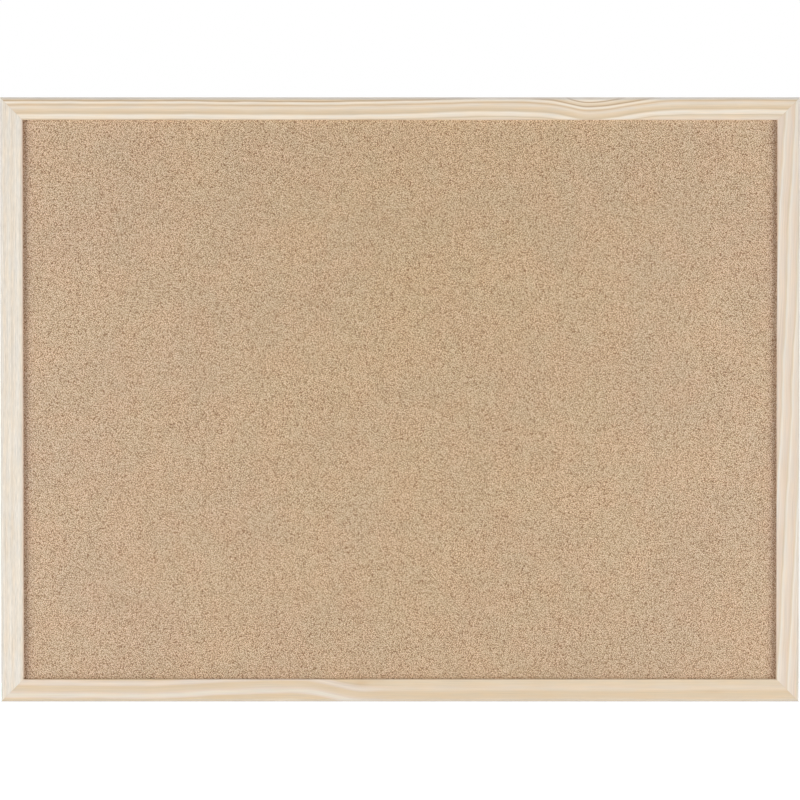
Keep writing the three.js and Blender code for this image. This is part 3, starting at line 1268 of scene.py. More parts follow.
@dataclass(frozen=True)
class HardboardFinish:
    """The screened back of a hardboard sheet.

    Attributes:
        light: The colour of the raised fibres.
        dark: The colour of the pits that the screen leaves.
        bark: The colour of the coarse fibres and specks.
        pitch: The screen's pitch, in millimetres.
        sway: How far its wires stray.
        stray: The waves in which they do so, across and up.
        weave_depth: The height of the screen's print, beside the fibres'.
        fibre: The noise of the fibres.
        blotch: The wide patches of lighter and darker board.
        clump: The clumps of fibres.
        speck: The specks of bark.
        speck_noise: The noise where a speck starts, and where it is darkest.
        speck_share: How strongly it shows.
        raised: How much the height and the clumps lighten the board, and its ground tone.
        light_range: The least lightness, and what the blotches add.
        rough: The least roughness, and what the fibres add.
        relief: The height of the face, in metres.
    """

    light: Colour = tone(158, 121, 88)
    dark: Colour = tone(112, 79, 54)
    bark: Colour = tone(92, 62, 42)
    pitch: float = 1.9
    sway: float = 3.2
    stray: tuple[Noise, Noise] = (Noise(0.09, 1.0), Noise(0.13, 1.0))
    weave_depth: float = 0.4
    fibre: Noise = Noise(1.2, 5.0, 0.72)
    blotch: Noise = Noise(1 / 42.0, 4.0, 0.62)
    clump: Noise = Noise(0.42, 3.0, 0.6)
    speck: Noise = Noise(0.8, 2.0, 0.6)
    speck_noise: Pair = (0.66, 0.74)
    speck_share: float = 0.6
    raised: tuple[float, float, float] = (0.75, 0.9, -0.3)
    light_range: Pair = (0.84, 0.32)
    rough: Pair = (0.66, 0.2)
    relief: float = 0.16 * MM

    def build(self) -> bpy.types.Material:
        """Makes the material.

        Returns:
            The material.
        """
        finish = NodeFinish("hardboard")
        place = finish.millimetres()
        across, _, up = finish.parts(place)
        across = across + (finish.noise(place, self.stray[0]) - MEAN) * self.sway
        up = up + (finish.noise(place, self.stray[1]) - MEAN) * self.sway
        turn = 2 * math.pi / self.pitch
        weave = (across * turn).maths("SINE") * (up * turn).maths("SINE")
        kinds = (self.fibre, self.blotch, self.clump)
        fibres, blotch, clumps = (finish.noise(place, kind) for kind in kinds)
        specks = finish.noise(place, self.speck).smooth(*self.speck_noise)
        height = weave * self.weave_depth + fibres
        share = height * self.raised[0] + clumps * self.raised[1] + self.raised[2]
        colour = finish.mix(share.smooth(0.0, 1.0), self.dark, self.light)
        colour = finish.mix(specks * self.speck_share, colour, self.bark)
        finish.feed("Base Color", finish.scaled(colour, blotch.ranged(*self.light_range)))
        finish.feed("Roughness", fibres.ranged(*self.rough))
        finish.bump(height, self.relief)
        return finish.material


@dataclass(frozen=True)
class SteelFinish:
    """Plated or blued sheet steel and wire.

    Attributes:
        name: The material's name.
        colour: Its colour.
        stain: The colour of its duller patches.
        rough: Its least roughness.
        spangle: The noise of the patches.
        spangle_noise: The noise where a duller patch starts, and where it is full.
        scuff: The noise of the scuffs.
        rougher: What the patches and the scuffs add to the roughness.
        relief: The height of the scuffs, in metres.
    """

    name: str
    colour: Colour
    stain: Colour
    rough: float
    spangle: Noise = Noise(0.7, 3.0, 0.6)
    spangle_noise: Pair = (0.35, 0.75)
    scuff: Noise = Noise(3.0, 4.0, 0.7)
    rougher: Pair = (0.12, 0.14)
    relief: float = 0.01 * MM

    def build(self) -> bpy.types.Material:
        """Makes the material.

        Returns:
            The material.
        """
        finish = NodeFinish(self.name)
        place = finish.millimetres()
        spangle, scuff = finish.noise(place, self.spangle), finish.noise(place, self.scuff)
        stained = spangle.smooth(*self.spangle_noise)
        finish.feed("Base Color", finish.mix(stained, self.colour, self.stain))
        finish.feed("Metallic", 1.0)
        finish.feed("Roughness", self.rough + spangle * self.rougher[0] + scuff * self.rougher[1])
        finish.bump(scuff, self.relief)
        return finish.material


ZINC = SteelFinish("zinc_steel", tone(182, 185, 188), tone(150, 154, 160), 0.24)
BLUED = SteelFinish("black_steel", tone(92, 93, 98), tone(62, 60, 64), 0.32)


@dataclass(frozen=True)
class RubberFinish:
    """Soft dark rubber with a dusty bloom.

    Attributes:
        colour: The rubber's colour.
        bloom: The colour of the dust on it.
        dust_and_shade: The noise of the rubber's dusty bloom.
        dust_noise: The noise where dust starts, and where it is thickest.
        rough: The least roughness, and what the dust adds.
        relief: The height of its grain, in metres.
    """

    colour: Colour = tone(52, 52, 54)
    bloom: Colour = tone(92, 91, 90)
    dust_and_shade: Noise = Noise(1.4, 4.0, 0.65)
    dust_noise: Pair = (0.5, 0.85)
    rough: Pair = (0.62, 0.25)
    relief: float = 0.03 * MM

    def build(self) -> bpy.types.Material:
        """Makes the material.

        Returns:
            The material.
        """
        finish = NodeFinish("rubber")
        place = finish.millimetres()
        dust_and_shade = finish.noise(place, self.dust_and_shade)
        dusty = dust_and_shade.smooth(*self.dust_noise)
        finish.feed("Base Color", finish.mix(dusty, self.colour, self.bloom))
        finish.feed("Roughness", dust_and_shade.ranged(*self.rough))
        finish.bump(dust_and_shade, self.relief)
        return finish.material


# The frame's wood


@dataclass(frozen=True)
class PineFrame:
    """Four mitred lengths of pine moulding.

    Attributes:
        plan: The board's planes.
        rim_width: The width of the rim behind the lip.
        lip_thickness: The thickness of the lip in front of the panel.
        outer_round: The radius of the outer front edge.
        inner_round: The radius of the inner front edge.
        back_ease: The radius of the back edges.
        mitre_gap: The glue line at a mitre.
        stations: The number of sections along a length.
        flats: The number of steps across the flat of its face.
        round_steps: The numbers of steps round the outer and inner front edges and the back edges.
    """

    plan: BoardPlan
    rim_width: float = 12.0 * MM
    lip_thickness: float = 3.5 * MM
    outer_round: float = 2.8 * MM
    inner_round: float = 0.35 * MM
    back_ease: float = 0.4 * MM
    mitre_gap: float = 0.03 * MM
    stations: int = 40
    flats: int = 5
    round_steps: tuple[int, int, int] = (10, 6, 3)

    def section(self) -> list[Pair]:
        """The moulding's section.

        Returns:
            Its corners, each as a distance inwards from the outer edge and one forwards from the back.
        """
        depth = self.plan.back - self.plan.front
        face = self.plan.face_width
        ease, round_out, round_in = self.back_ease, self.outer_round, self.inner_round
        lip_back = depth - self.lip_thickness
        outer_steps, inner_steps, back_steps = self.round_steps
        points = arc((ease, ease), ease, 3 * QUARTER_TURN, math.pi, back_steps)
        points += arc((round_out, depth - round_out), round_out, math.pi, QUARTER_TURN, outer_steps)
        start, end, flats = round_out, face - round_in, self.flats
        points += [(start + (end - start) * step / flats, depth) for step in range(1, flats)]
        points += arc((end, depth - round_in), round_in, QUARTER_TURN, 0.0, inner_steps)
        points += [(face, lip_back), (self.rim_width, lip_back)]
        points += arc((self.rim_width - ease, ease), ease, 0.0, -QUARTER_TURN, back_steps)
        return points

    def build_side(self, side: Side) -> bpy.types.Object:
        """Makes one length.

        Args:
            side: The side of the frame.

        Returns:
            The length.
        """
        section = self.section()
        half_length = self.plan.length(side) / 2 - self.mitre_gap / math.sqrt(2)
        points = [
            self._place(side, share * (half_length - inward), inward, forward)
            for share in np.linspace(-1.0, 1.0, self.stations)
            for inward, forward in section
        ]
        return mesh_piece(f"{side.node}_wood", points, tube_faces(self.stations, len(section)))

    def _place(self, side: Side, along: float, inward: float, forward: float) -> Point:
        """The point so far along a side from its middle, inwards from its edge and forwards of its back."""
        local = Vector((along, self.plan.back - forward, inward - self.plan.across(side) / 2))
        return tuple(side.turn() @ local)

    def dress_side(self, side: Side, piece: bpy.types.Object) -> None:
        """Shades and finishes one length.

        Args:
            side: The side of the frame.
            piece: The length.
        """
        shade_smooth(piece, angle=40.0)
        material = PineFinish(side, self.plan, FIGURES[side]).build()
        dress(piece, material, side.node)


# The layers behind the opening


@dataclass(frozen=True)
class CorkSheet:
    """The cork, with its uneven face and the margin that dives behind the lip.

    Attributes:
        plan: The board's planes.
        cell: The size of the mesh's cells on the face.
        relief: How far the granules stand out of the face.
        dive: The width of the strip where the face falls to the pressed margin.
        margin: The thickness of that margin.
        stray: The greatest stray of a point, in parts of the relief.
        seed: The seed of the relief.
    """

    plan: BoardPlan
    cell: float = 1.8 * MM
    relief: float = 0.055 * MM
    dive: float = 1.3 * MM
    margin: float = 1.7 * MM
    stray: float = 2.0
    seed: int = 7

    def build(self) -> bpy.types.Object:
        """Makes the sheet as one closed mesh.

        Returns:
            The sheet.
        """
        low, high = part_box("cork_sheet")
        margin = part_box("core_board")[0].y - self.margin
        half_width, half_height = high.x, high.z
        sight_x = self.plan.half_width - self.plan.face_width
        sight_z = self.plan.half_height - self.plan.face_width
        columns = int(2 * half_width / self.cell)
        rows = int(2 * half_height / self.cell)
        xs = np.linspace(-half_width, half_width, columns + 1)
        zs = np.linspace(-half_height, half_height, rows + 1)
        grid_x, grid_z = np.meshgrid(xs, zs)
        inside = np.minimum(sight_x - np.abs(grid_x), sight_z - np.abs(grid_z))
        rise = np.clip(inside / self.dive, 0, 1)
        rise = rise * rise * (3 - 2 * rise)
        noise = np.random.default_rng(self.seed).normal(0, 1, grid_x.shape)
        bumps = np.clip(noise, -self.stray, self.stray) * self.relief * rise
        front = margin + (low.y + self.relief - margin) * rise + bumps
        count = (rows + 1) * (columns + 1)
        points = np.stack([grid_x, front, grid_z], axis=-1).reshape(-1, 3)
        back = [(x, high.y, z) for z in (-half_height, half_height) for x in (-half_width, half_width)]
        index = np.arange(count).reshape(rows + 1, columns + 1)
        quads = np.stack([index[:-1, :-1], index[:-1, 1:], index[1:, 1:], index[1:, :-1]], axis=-1)
        faces: list[Sequence[int]] = [tuple(quad) for quad in quads.reshape(-1, 4).tolist()]
        bottom_left, bottom_right, top_left, top_right = range(count, count + 4)
        faces.append((bottom_left, top_left, top_right, bottom_right))
        faces.append((*index[0, :].tolist()[::-1], bottom_left, bottom_right))
        faces.append((*index[-1, :].tolist(), top_right, top_left))
        faces.append((*index[:, 0].tolist(), top_left, bottom_left))
        faces.append((*index[:, -1].tolist()[::-1], bottom_right, top_right))
        return mesh_piece("cork_face", [*points.tolist(), *back], faces)

    def dress(self, piece: bpy.types.Object) -> None:
        """Shades and finishes the sheet.

        Args:
            piece: The sheet.
        """
        shade_smooth(piece, angle=50.0)
        opening = (self.plan.half_width - self.plan.face_width) / MM
        dress(piece, CorkFinish(half_opening=opening).build(), "cork_sheet")


@dataclass(frozen=True)
class SoftCore:
    """The softboard behind the cork, which is hidden and keeps the shape of its CAD node.

    Attributes:
        solid: The CAD node.
    """

    solid: bpy.types.Object

    def dress(self) -> None:
        """Finishes the core."""
        self.solid.data.materials.clear()
        self.solid.data.materials.append(FibreFinish().build())
        LOG.info("%s keeps its CAD shape, as softboard", self.solid.name)


@dataclass(frozen=True)
class BackPanel:
    """The hardboard sheet that closes the back.

    Attributes:
        ease: The bevel along its sawn edges.
    """

    ease: float = 0.25 * MM

    def build(self) -> bpy.types.Object:
        """Makes the sheet.

        Returns:
            The sheet.
        """
        low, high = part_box("back_panel")
        outline = [(low.x, low.z), (high.x, low.z), (high.x, high.z), (low.x, high.z)]
        piece = prism("hardboard_sheet", outline, low.y, high.y)
        soften(piece, self.ease)
        return piece

    def dress(self, piece: bpy.types.Object) -> None:
        """Shades and finishes the sheet."""
        shade_smooth(piece)
        dress(piece, HardboardFinish().build(), "back_panel")


# The metal fittings


def dress_fittings(made: Pieces, steel: SteelFinish) -> None:
    """Shades and finishes fittings of one steel.

    Args:
        made: The fittings, by the node that each stands for.
        steel: Their finish.
    """
    material = steel.build()
    for node, piece in made.items():
        shade_smooth(piece)
        dress(piece, material, node)


@dataclass(frozen=True)
class CornerNails:
    """Folded steel strips driven across the mitres from behind.

    Attributes:
        plan: The board's planes.
        leg: The length of a leg.
        thickness: The strip's thickness.
        fold: The inner radius of the fold.
        slot_room: How far a slot's walls stand off the strip.
        ease: The bevel along the strip's edges.
        fold_steps: The numbers of steps round the fold, outside and inside.
        corners: Each corner, and the quarter turns that bring a nail to it.
    """

    plan: BoardPlan
    leg: float = 4.0 * MM
    thickness: float = 0.5 * MM
    fold: float = 0.35 * MM
    slot_room: float = 0.08 * MM
    ease: float = 0.06 * MM
    fold_steps: tuple[int, int] = (6, 4)
    corners: tuple[tuple[str, int], ...] = (
        ("bottom_right", 0),
        ("bottom_left", 1),
        ("top_left", 2),
        ("top_right", 3),
    )

    def outline(self, room: float) -> list[Pair]:
        """The strip in plan: one leg along -X and one along +Z from a rounded fold.

        Args:
            room: How much further out than the strip the outline runs.

        Returns:
            The outline's corners.
        """
        half = self.thickness / 2 + room
        inner, outer = self.fold, self.fold + 2 * half
        centre = (-half - inner, half + inner)
        points = arc(centre, outer, -QUARTER_TURN, 0.0, self.fold_steps[0])
        end = self.leg + room
        points += [(half, end), (-half, end)]
        points += arc(centre, inner, 0.0, -QUARTER_TURN, self.fold_steps[1])
        return [*points, (-end, half), (-end, -half)]

    def nodes(self) -> list[tuple[str, int]]:
        """Every nail's node, with the quarter turns that bring a nail to its corner."""
        ends = ("outer", "inner")
        return [(f"corner_nail_{corner}_{end}", turns) for corner, turns in self.corners for end in ends]

    def placed(self, node: str, turns: int, room: float = 0.0) -> bpy.types.Object:
        """A nail in its place, or the slot that one leaves.

        Args:
            node: The nail's node.
            turns: The quarter turns that bring it to its corner.
            room: How much bigger than the nail the shape is.

        Returns:
            The shape.
        """
        low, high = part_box(node)
        top = self.plan.back + room if room else high.y
        piece = prism(f"{node}_strip", self.outline(room), low.y - room, top)
        half = self.thickness / 2
        rightward, upward = turns in (1, 2), turns in (0, 1)
        x = low.x + half if rightward else high.x - half
        z = low.z + half if upward else high.z - half
        shift(piece, (x, 0, z), Matrix.Rotation(turns * QUARTER_TURN, 4, "Y"))
        return piece

    def cut_slots(self, side: Side, wood: bpy.types.Object) -> None:
        """Cuts the slots of the nails at both ends of one length.

        Args:
            side: The length's side of the frame.
            wood: The length.
        """
        for node, turns in self.nodes():
            if turns in (side.value, (side.value + 1) % len(Side)):
                combine(wood, self.placed(node, turns, self.slot_room))

    def build(self) -> Pieces:
        """Makes every nail in its place.

        Returns:
            The nails, by the node that each stands for.
        """
        made = {node: self.placed(node, turns) for node, turns in self.nodes()}
        for piece in made.values():
            soften(piece, self.ease)
        return made

    def dress(self, made: Pieces) -> None:
        """Finishes every nail."""
        dress_fittings(made, ZINC)


@dataclass(frozen=True)
class RetainingPoints:
    """Flexible steel points, pressed down on the hardboard.

    Attributes:
        width: The width of a point.
        thickness: Its thickness.
        tip: The length of its arrow tip.
        press: How far its free end is pressed down.
        held: The share of its length that the wood holds straight.
        ease: The bevel along its edges.
        steps: The number of steps along it.
        counts: The number of points on each side.
    """

    width: float = 5.5 * MM
    thickness: float = 0.6 * MM
    tip: float = 2.5 * MM
    press: float = 0.24 * MM
    held: float = 0.45
    ease: float = 0.1 * MM
    steps: int = 14
    counts: tuple[tuple[Side, int], ...] = (
        (Side.BOTTOM, 4),
        (Side.LEFT, 3),
        (Side.TOP, 4),
        (Side.RIGHT, 3),
    )

    def build(self) -> Pieces:
        """Makes every point in its place.

        Returns:
            The points, by the node that each stands for.
        """
        made = {}
        for side, count in self.counts:
            for number in range(1, count + 1):
                node = f"retaining_point_{side.name.lower()}_{number}"
                made[node] = self._point(node, side)
        return made

    def _point(self, node: str, side: Side) -> bpy.types.Object:
        """Makes one point.

        Args:
            node: The CAD node that it stands for.
            side: The side of the frame that it is driven into.

        Returns:
            The point.
        """
        low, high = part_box(node)
        length = max(high.x - low.x, high.z - low.z)
        half = self.width / 2
        points = []
        for level in (0.0, self.thickness):
            for step in range(self.steps + 1):
                along = length * step / self.steps
                side_reach = half * min(1.0, along / self.tip)
                free = max(0.0, along / length - self.held) / (1 - self.held)
                drop = self.press * free * free
                for edge in (-1, 1):
                    points.append((edge * side_reach, level - drop, along - length / 2))
        row = 2
        layer = (self.steps + 1) * row
        faces = []
        for step in range(self.steps):
            a = step * row
            faces += [
                (a, a + 1, a + 3, a + 2),
                (layer + a, layer + a + 2, layer + a + 3, layer + a + 1),
                (a, a + 2, layer + a + 2, layer + a),
                (a + 1, layer + a + 1, layer + a + 3, a + 3),
            ]
        end = self.steps * row
        faces.append((end, end + 1, layer + end + 1, layer + end))
        piece = mesh_piece(f"{node}_strip", points, faces)
        centre = (low + high) / 2
        shift(piece, (centre.x, low.y, centre.z), side.turn())
        soften(piece, self.ease)
        return piece

    def dress(self, made: Pieces) -> None:
        """Finishes every point."""
        dress_fittings(made, BLUED)


@dataclass(frozen=True)
class Hanger:
    """A folded strap, a D-ring that swings in its eye, and the screw that holds it.

    Attributes:
        label: The side of the board, left or right.
        hinge: The middle of the ring's bar, about which it swings.
        strap_width: The strap's width.
        sheet: The thickness of its sheet, which is folded double.
        wire: The ring's wire diameter.
        running_gap: The gap between wire and eye.
        ring_span: The ring's outer width.
        ring_side: The length of its straight sides.
        ring_corner: The radius of its lower corners.
        head: The screw head's diameter.
        head_height: The screw head's height.
        head_rim: The height of the head's upright rim.
        shank: The shank's diameter under the head.
        thread_rise: How far the thread stands out of the shank.
        thread_pitch: The thread's pitch.
        plain_shank: The length under the head that has no thread.
        point: The length of the tapered point.
        rim_ease: The bevel under the head's rim.
        recess_top: Half the length of a recess arm, at the height where the cutter ends.
        recess_foot: The same at the recess's floor.
        recess_width: Half the width of an arm.
        recess_depth: The depth of the recess.
        recess_over: How far the recess's cutter stands out of the head.
        root: How far the shank runs on into the head.
        thread_slope: How steeply the thread falls off from its crest, over a pitch.
        hole_room: The room round the thread in the strap's hole.
        ease: The bevel along the strap's edges.
        eye_steps: The number of steps over the eye.
        end_steps: The number of steps round the strap's end.
        bar_steps: The number of steps along the ring's bar.
        corner_steps: The number round each of its corners.
        bow_steps: The number round its bow.
        wire_sides: The number of sides of its wire.
        dome_steps: The number of steps over the screw's dome.
        head_sides: The number of sides of its head.
        shank_sides: The number of sides of its shank.
        pitch_steps: The number of steps in each turn of the thread.
    """

    label: str
    hinge: Vector
    strap_width: float = 7.0 * MM
    sheet: float = 0.6 * MM
    wire: float = 1.6 * MM
    running_gap: float = 0.3 * MM
    ring_span: float = 13.8 * MM
    ring_side: float = 1.5 * MM
    ring_corner: float = 1.8 * MM
    head: float = 5.6 * MM
    head_height: float = 1.6 * MM
    head_rim: float = 0.45 * MM
    shank: float = 2.6 * MM
    thread_rise: float = 0.26 * MM
    thread_pitch: float = 1.1 * MM
    plain_shank: float = 1.6 * MM
    point: float = 2.2 * MM
    rim_ease: float = 0.15 * MM
    recess_top: float = 1.6 * MM
    recess_foot: float = 0.7 * MM
    recess_width: float = 0.4 * MM
    recess_depth: float = 1.15 * MM
    recess_over: float = 0.4 * MM
    root: float = 0.3 * MM
    thread_slope: float = 5.0
    hole_room: float = 0.1 * MM
    ease: float = 0.12 * MM
    eye_steps: int = 20
    end_steps: int = 24
    bar_steps: int = 8
    corner_steps: int = 10
    bow_steps: int = 48
    wire_sides: int = 20
    dome_steps: int = 10
    head_sides: int = 48
    shank_sides: int = 20
    pitch_steps: int = 8

    def node(self, part: str) -> str:
        """The CAD node of the strap, the ring or the screw."""
        return f"hanger_{part}_{self.label}"

    def build_strap(self) -> bpy.types.Object:
        """Makes the strap from its side view, then rounds its end and drills it.

        Returns:
            The strap.
        """
        node, hinge = self.node("strap"), self.hinge
        low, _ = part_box(node)
        half, inner = self.strap_width / 2, self.wire / 2 + self.running_gap
        outer = inner + self.sheet
        under = low.y - hinge.y
        end = low.z - hinge.z
        over = under + 2 * self.sheet
        join = -math.sqrt(max(outer * outer - over * over, 0.0))
        side = [(under, end), (under, 0.0)]
        side += arc((0.0, 0.0), outer, math.pi, 0.0, self.eye_steps)[1:]
        side += arc((0.0, 0.0), outer, 0.0, math.atan2(join, over), self.eye_steps // 2)[1:]
        side += [(over, end)]
        piece = prism(f"{node}_sheet", side, -half, half, Axis.X)
        bore = rod("bore", inner, self.strap_width)
        shift(bore, (0, 0, 0), Matrix.Rotation(QUARTER_TURN, 4, "Z"))
        combine(piece, bore)
        corner = [(self.strap_width, end - half), (self.strap_width, end + half)]
        corner += arc((0.0, end + half), half, 0.0, -math.pi, self.end_steps)
        corner += [(-self.strap_width, end + half), (-self.strap_width, end - half)]
        combine(piece, prism("end", corner, under - half, over + half))
        screw_low, screw_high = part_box(self.node("screw"))
        hole = rod("hole", self.shank / 2 + self.thread_rise + self.hole_room, half)
        shift(hole, (0, 0, (screw_low.z + screw_high.z) / 2 - hinge.z))
        combine(piece, hole)
        shift(piece, hinge)
        soften(piece, self.ease, angle=50.0)
        return piece

    def build_ring(self) -> bpy.types.Object:
        """Makes the ring, leaning as its node does.

        Returns:
            The ring.
        """
        half = self.ring_span / 2 - self.wire / 2
        corner = half - self.ring_corner
        shoulder = self.ring_corner + self.ring_side
        bar, turn, round_in = self.bar_steps, self.corner_steps, self.ring_corner
        line = [(-corner + 2 * corner * step / bar, 0.0) for step in range(1, bar)]
        line += arc((corner, round_in), round_in, -QUARTER_TURN, 0.0, turn)
        line += arc((0.0, shoulder), half, 0.0, math.pi, self.bow_steps)
        line += arc((-corner, round_in), round_in, math.pi, 3 * QUARTER_TURN, turn)
        node = self.node("ring")
        piece = swept_ring(f"{node}_wire", line, self.wire / 2, self.wire_sides)
        low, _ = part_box(node)
        rise = shoulder + half
        lean = math.asin((self.hinge.y - low.y - self.wire / 2) / rise)
        shift(piece, self.hinge, Matrix.Rotation(lean, 4, "X"))
        return piece

    def build_screw(self) -> bpy.types.Object:
        """Makes the screw: a domed head with a cross recess, and a threaded shank.

        Returns:
            The screw.
        """
        node = self.node("screw")
        low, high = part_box(node)
        seat = high.y - self.head_height
        radius, ease = self.head / 2, self.rim_ease
        dome = self.head_height - self.head_rim
        profile = [(0.0, 0.0), (radius - ease, 0.0), (radius, ease), (radius, self.head_rim)]
        for step in range(1, self.dome_steps):
            angle = QUARTER_TURN * step / self.dome_steps
            profile.append((radius * math.cos(angle), self.head_rim + dome * math.sin(angle)))
        head = turned(f"{node}_body", [*profile, (0.0, self.head_height)], self.head_sides)
        for turn in (0, 1):
            combine(head, self._recess_arm(turn))
        combine(head, self._shank(seat - low.y), Joining.ADDED)
        shift(head, ((low.x + high.x) / 2, seat, (low.z + high.z) / 2))
        return head

    def _recess_arm(self, turn: int) -> bpy.types.Object:
        """A tapered arm of the cross recess, as a solid to cut away.

        Args:
            turn: The number of quarter turns about the screw's axis.

        Returns:
            The arm.
        """
        wide, narrow = self.recess_top, self.recess_foot
        floor, top = self.head_height - self.recess_depth, self.head_height + self.recess_over
        corners = [(-narrow, floor), (narrow, floor), (wide, top), (-wide, top)]
        arm = prism("recess_arm", corners, -self.recess_width, self.recess_width, Axis.Z)
        shift(arm, (0, 0, 0), Matrix.Rotation(turn * QUARTER_TURN + QUARTER_TURN / 2, 4, "Y"))
        return arm

    def _shank(self, length: float) -> bpy.types.Object:
        """The shank, with a thread that winds round it down to its point.

        Args:
            length: The length under the head.

        Returns:
            The shank, with its top just inside the head.
        """
        sides, start = self.shank_sides, self.root
        steps = int((length + start) / self.thread_pitch * self.pitch_steps)
        points: list[Point] = [(0.0, start, 0.0)]
        for step in range(steps):
            depth = start - (length + start) * step / steps
            taper = min(1.0, (length + depth) / self.point)
            core = self.shank / 2 * taper
            for side in range(sides):
                angle = 2 * math.pi * side / sides
                phase = (depth / self.thread_pitch + side / sides) % 1.0
                rise = max(0.0, 1 - abs(phase - 0.5) * self.thread_slope)
                crest = rise * self.thread_rise * taper if depth < -self.plain_shank else 0.0
                reach = core + crest
                points.append((reach * math.cos(angle), depth, reach * math.sin(angle)))
        points.append((0.0, -length, 0.0))
        faces: list[Sequence[int]] = []
        for side in range(sides):
            after = (side + 1) % sides
            faces.append((0, 1 + side, 1 + after))
            for step in range(steps - 1):
                low, high = 1 + step * sides, 1 + (step + 1) * sides
                faces.append((low + side, high + side, high + after, low + after))
            last = 1 + (steps - 1) * sides
            faces.append((last + side, len(points) - 1, last + after))
        return mesh_piece("shank", points, faces)

    def build(self) -> Pieces:
        """Makes the strap, the ring and the screw, and returns them by name."""
        return {"strap": self.build_strap(), "ring": self.build_ring(), "screw": self.build_screw()}

    def dress(self, made: Pieces) -> None:
        """Finishes the strap and the screw, which stay with the board, and the ring, which swings.

        Args:
            made: The three, by name.
        """
        steel = ZINC.build()
        for part, angle, body in (
            ("strap", 30.0, "board"),
            ("screw", 30.0, "board"),
            ("ring", 80.0, f"ring_{self.label}"),
        ):
            shade_smooth(made[part], angle)
            dress(made[part], steel, self.node(part), body)


@dataclass(frozen=True)
class WallBumper:
    """A rubber button stuck behind a lower corner.

    Attributes:
        label: The side of the board, left or right.
        round_over: The radius of its outer edge.
        draft: How much narrower it is at its face.
        foot: The bevel round its foot.
        dimple: The depth of the hollow that moulding leaves in its face.
        rings: Where the hollow's rings of points lie, as shares of its radius.
        round_steps: The number of steps round its outer edge.
        sides: The number of its sides.
    """

    label: str
    round_over: float = 1.2 * MM
    draft: float = 0.25 * MM
    foot: float = 0.2 * MM
    dimple: float = 0.12 * MM
    rings: tuple[float, float, float] = (0.85, 0.6, 0.3)
    round_steps: int = 8
    sides: int = 56

    @property
    def node(self) -> str:
        """The CAD node of the bumper."""
        return f"wall_bumper_{self.label}"

    def build(self) -> bpy.types.Object:
        """Makes the bumper.

        Returns:
            The bumper.
        """
        low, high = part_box(self.node)
        radius = (high.x - low.x) / 2
        shoulder = radius - self.draft - self.round_over
        foot, edge = self.foot, self.round_over
        profile = [(0.0, low.y), (radius - foot, low.y), (radius, low.y + foot)]
        profile += arc((shoulder, high.y - edge), edge, 0.0, QUARTER_TURN, self.round_steps)
        profile += [(shoulder * share, high.y - self.dimple * (1 - share * share)) for share in self.rings]
        piece = turned(f"{self.node}_button", [*profile, (0.0, high.y - self.dimple)], self.sides)
        shift(piece, ((low.x + high.x) / 2, 0, (low.z + high.z) / 2))
        return piece

    def dress(self, piece: bpy.types.Object) -> None:
        """Shades and finishes the bumper."""
        shade_smooth(piece, angle=60.0)
        dress(piece, RubberFinish().build(), self.node)


# Light, floor and camera


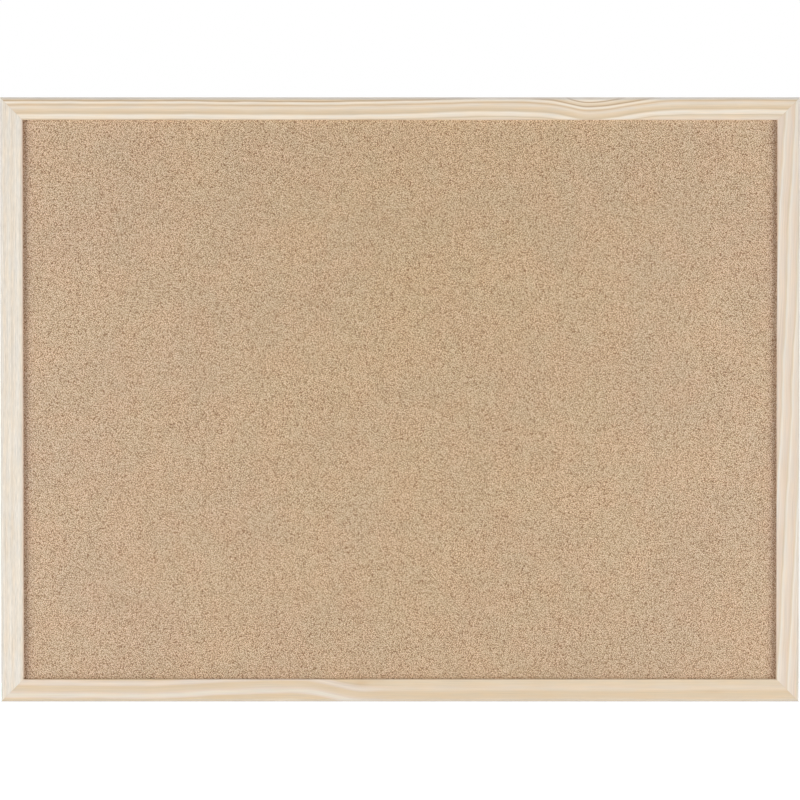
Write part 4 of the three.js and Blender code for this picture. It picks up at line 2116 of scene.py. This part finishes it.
@dataclass(frozen=True)
class Studio:
    """A pale floor, soft lamps on both sides, a white surround and the camera.

    Attributes:
        plan: The board's planes.
        picture_width: The width that the picture takes in, at the frame's front.
        sensor: The width of the camera's sensor, in millimetres.
        clip: The least and the greatest distance that the camera sees.
        distance: From the camera to the frame's front.
        camera_rise: The camera's height above the board's middle.
        floor_drop: The floor's depth below the board's middle.
        floor_reach: How far the floor runs from under the board.
        floor_tone: The floor's colour.
        floor_rough: Its roughness.
        floor_lift: What is added to the floor as the camera sees it, so that it shows white.
        surround: The strength of the surround as light.
        lamp_distance: From a lamp to the board's middle.
        lamp_angle: The front lamps' angle from straight ahead, in degrees.
        back_angle: The back lamps' angle from straight behind.
        lamp_size: Width and height of a lamp.
        lamp_height: A lamp's height above the board's middle.
        lamp_power: The power of each front lamp, in watts.
        back_power: The power of each lamp behind the board.
        top_power: The power of the lamp overhead.
        top_place: Its place, just behind the board, so that it throws no shadow on the cork.
        top_size: Its width and depth.
    """

    plan: BoardPlan
    picture_width: float = 0.6001
    sensor: float = 36.0
    clip: Pair = (0.05, 30.0)
    distance: float = 1.8
    camera_rise: float = 0.028
    floor_drop: float = 0.75
    floor_reach: float = 4.0
    floor_tone: Colour = tone(236, 236, 234)
    floor_rough: float = 0.9
    floor_lift: float = 0.75
    surround: float = 0.2
    lamp_distance: float = 2.5
    lamp_angle: float = 53.0
    back_angle: float = 35.0
    lamp_size: Pair = (1.1, 1.7)
    lamp_height: float = -0.15
    lamp_power: float = 39.3
    back_power: float = 26.0
    top_power: float = 27.0
    top_place: Point = (0.0, 0.45, 2.2)
    top_size: Pair = (1.7, 0.8)

    def build(self) -> None:
        """Makes everything that lights and frames the board."""
        self._camera()
        self._surround()
        self._floor()
        for label, side in (("left", -1), ("right", 1)):
            self._side_lamp(f"front_{label}", side * self.lamp_angle, self.lamp_power)
            self._side_lamp(f"back_{label}", side * (180.0 - self.back_angle), self.back_power)
        self._lamp("top", Vector(self.top_place), Vector((0, 0, -1)), self.top_size, self.top_power)

    def _camera(self) -> None:
        """Sets the camera straight in front of the board."""
        data = bpy.data.cameras.new("camera")
        camera = into_scene("camera", data)
        target = Vector((0.0, self.plan.front, 0.0))
        camera.location = Vector((0.0, self.plan.front - self.distance, self.camera_rise))
        camera.rotation_euler = (target - camera.location).to_track_quat("-Z", "Y").to_euler()
        data.sensor_fit = "HORIZONTAL"
        data.sensor_width = self.sensor
        data.lens = self.sensor * self.distance / self.picture_width
        data.clip_start, data.clip_end = self.clip
        bpy.context.scene.camera = camera

    def _surround(self) -> None:
        """Lights the scene from all round, and shows white behind it and in its reflections."""
        world = bpy.data.worlds.new("surround")
        world.use_nodes = True
        bpy.context.scene.world = world
        nodes = Nodes(world.node_tree)
        path = nodes.node("ShaderNodeLightPath")
        seen = Value(nodes, path.outputs["Is Camera Ray"])
        for kind in ("Is Glossy Ray", "Is Transmission Ray"):
            seen = seen.maths("MAXIMUM", Value(nodes, path.outputs[kind]))
        sockets = {"Value": seen, "To Min": self.surround, "To Max": 1.0}
        strength = nodes.add("ShaderNodeMapRange", sockets=sockets)
        background = nodes.tree.nodes["Background"]
        background.inputs["Color"].default_value = (1.0, 1.0, 1.0, 1.0)
        nodes.tree.links.new(strength.socket, background.inputs["Strength"])

    def _floor(self) -> None:
        """Lays the floor, which shows white where it is fully lit and keeps the board's shadow."""
        reach = self.floor_reach
        corners = [(-reach, -reach), (reach, -reach), (reach, reach), (-reach, reach)]
        floor = mesh_piece("floor", [(x, y, -self.floor_drop) for x, y in corners], [(0, 1, 2, 3)])
        finish = NodeFinish("floor")
        finish.feed("Base Color", self.floor_tone)
        finish.feed("Roughness", self.floor_rough)
        by_camera = finish.add("ShaderNodeLightPath", output="Is Camera Ray")
        dark = finish.add("ShaderNodeEmission", sockets={"Strength": 0.0})
        glow = finish.add("ShaderNodeEmission", sockets={"Strength": self.floor_lift})
        lift = finish.add("ShaderNodeMixShader", sockets={0: by_camera, 1: dark, 2: glow})
        floor_light = Value(finish, finish.shader.outputs[0])
        both = finish.add("ShaderNodeAddShader", sockets={0: floor_light, 1: lift})
        surface = finish.tree.nodes["Material Output"].inputs["Surface"]
        finish.tree.links.new(both.socket, surface)
        floor.data.materials.append(finish.material)

    def _side_lamp(self, label: str, bearing: float, power: float) -> None:
        """Hangs one soft lamp beside the board.

        Args:
            label: The lamp's place in words.
            bearing: Its angle from straight ahead of the cork, in degrees, to the right.
            power: Its power, in watts.
        """
        angle = math.radians(bearing)
        flat = Vector((math.sin(angle), -math.cos(angle), 0.0)) * self.lamp_distance
        self._lamp(label, flat + Vector((0, 0, self.lamp_height)), -flat, self.lamp_size, power)

    @staticmethod
    def _lamp(label: str, place: Vector, aim: Vector, size: Pair, power: float) -> None:
        """Hangs one soft lamp.

        Args:
            label: The lamp's place in words.
            place: Where it hangs.
            aim: The direction in which it shines.
            size: Its width and height.
            power: Its power, in watts.
        """
        data = bpy.data.lights.new(f"lamp_{label}", "AREA")
        data.shape = "RECTANGLE"
        data.size, data.size_y = size
        data.energy = power
        lamp = into_scene(data.name, data)
        lamp.location = place
        lamp.rotation_euler = aim.to_track_quat("-Z", "Y").to_euler()


def main() -> None:
    """Builds the studio and then the board, piece by piece."""
    logging.basicConfig(level=logging.INFO, format="%(name)s: %(message)s")
    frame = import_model()
    bpy.context.scene.view_settings.view_transform = "Standard"
    plan = BoardPlan.from_frame()
    Studio(plan).build()
    wood, nails = PineFrame(plan), CornerNails(plan)
    for side in Side:
        length = wood.build_side(side)
        nails.cut_slots(side, length)
        wood.dress_side(side, length)
    SoftCore(frame["nodes"]["core_board"]).dress()
    hinges = {joint["name"]: Vector(joint["pos_m"]) for joint in frame["joints"]}
    fittings = [
        fitting
        for label in ("left", "right")
        for fitting in (Hanger(label, hinges[f"ring_{label}_swing"]), WallBumper(label))
    ]
    for assembly in (CorkSheet(plan), BackPanel(), nails, RetainingPoints(), *fittings):
        assembly.dress(assembly.build())


if __name__ == "__main__":
    main()
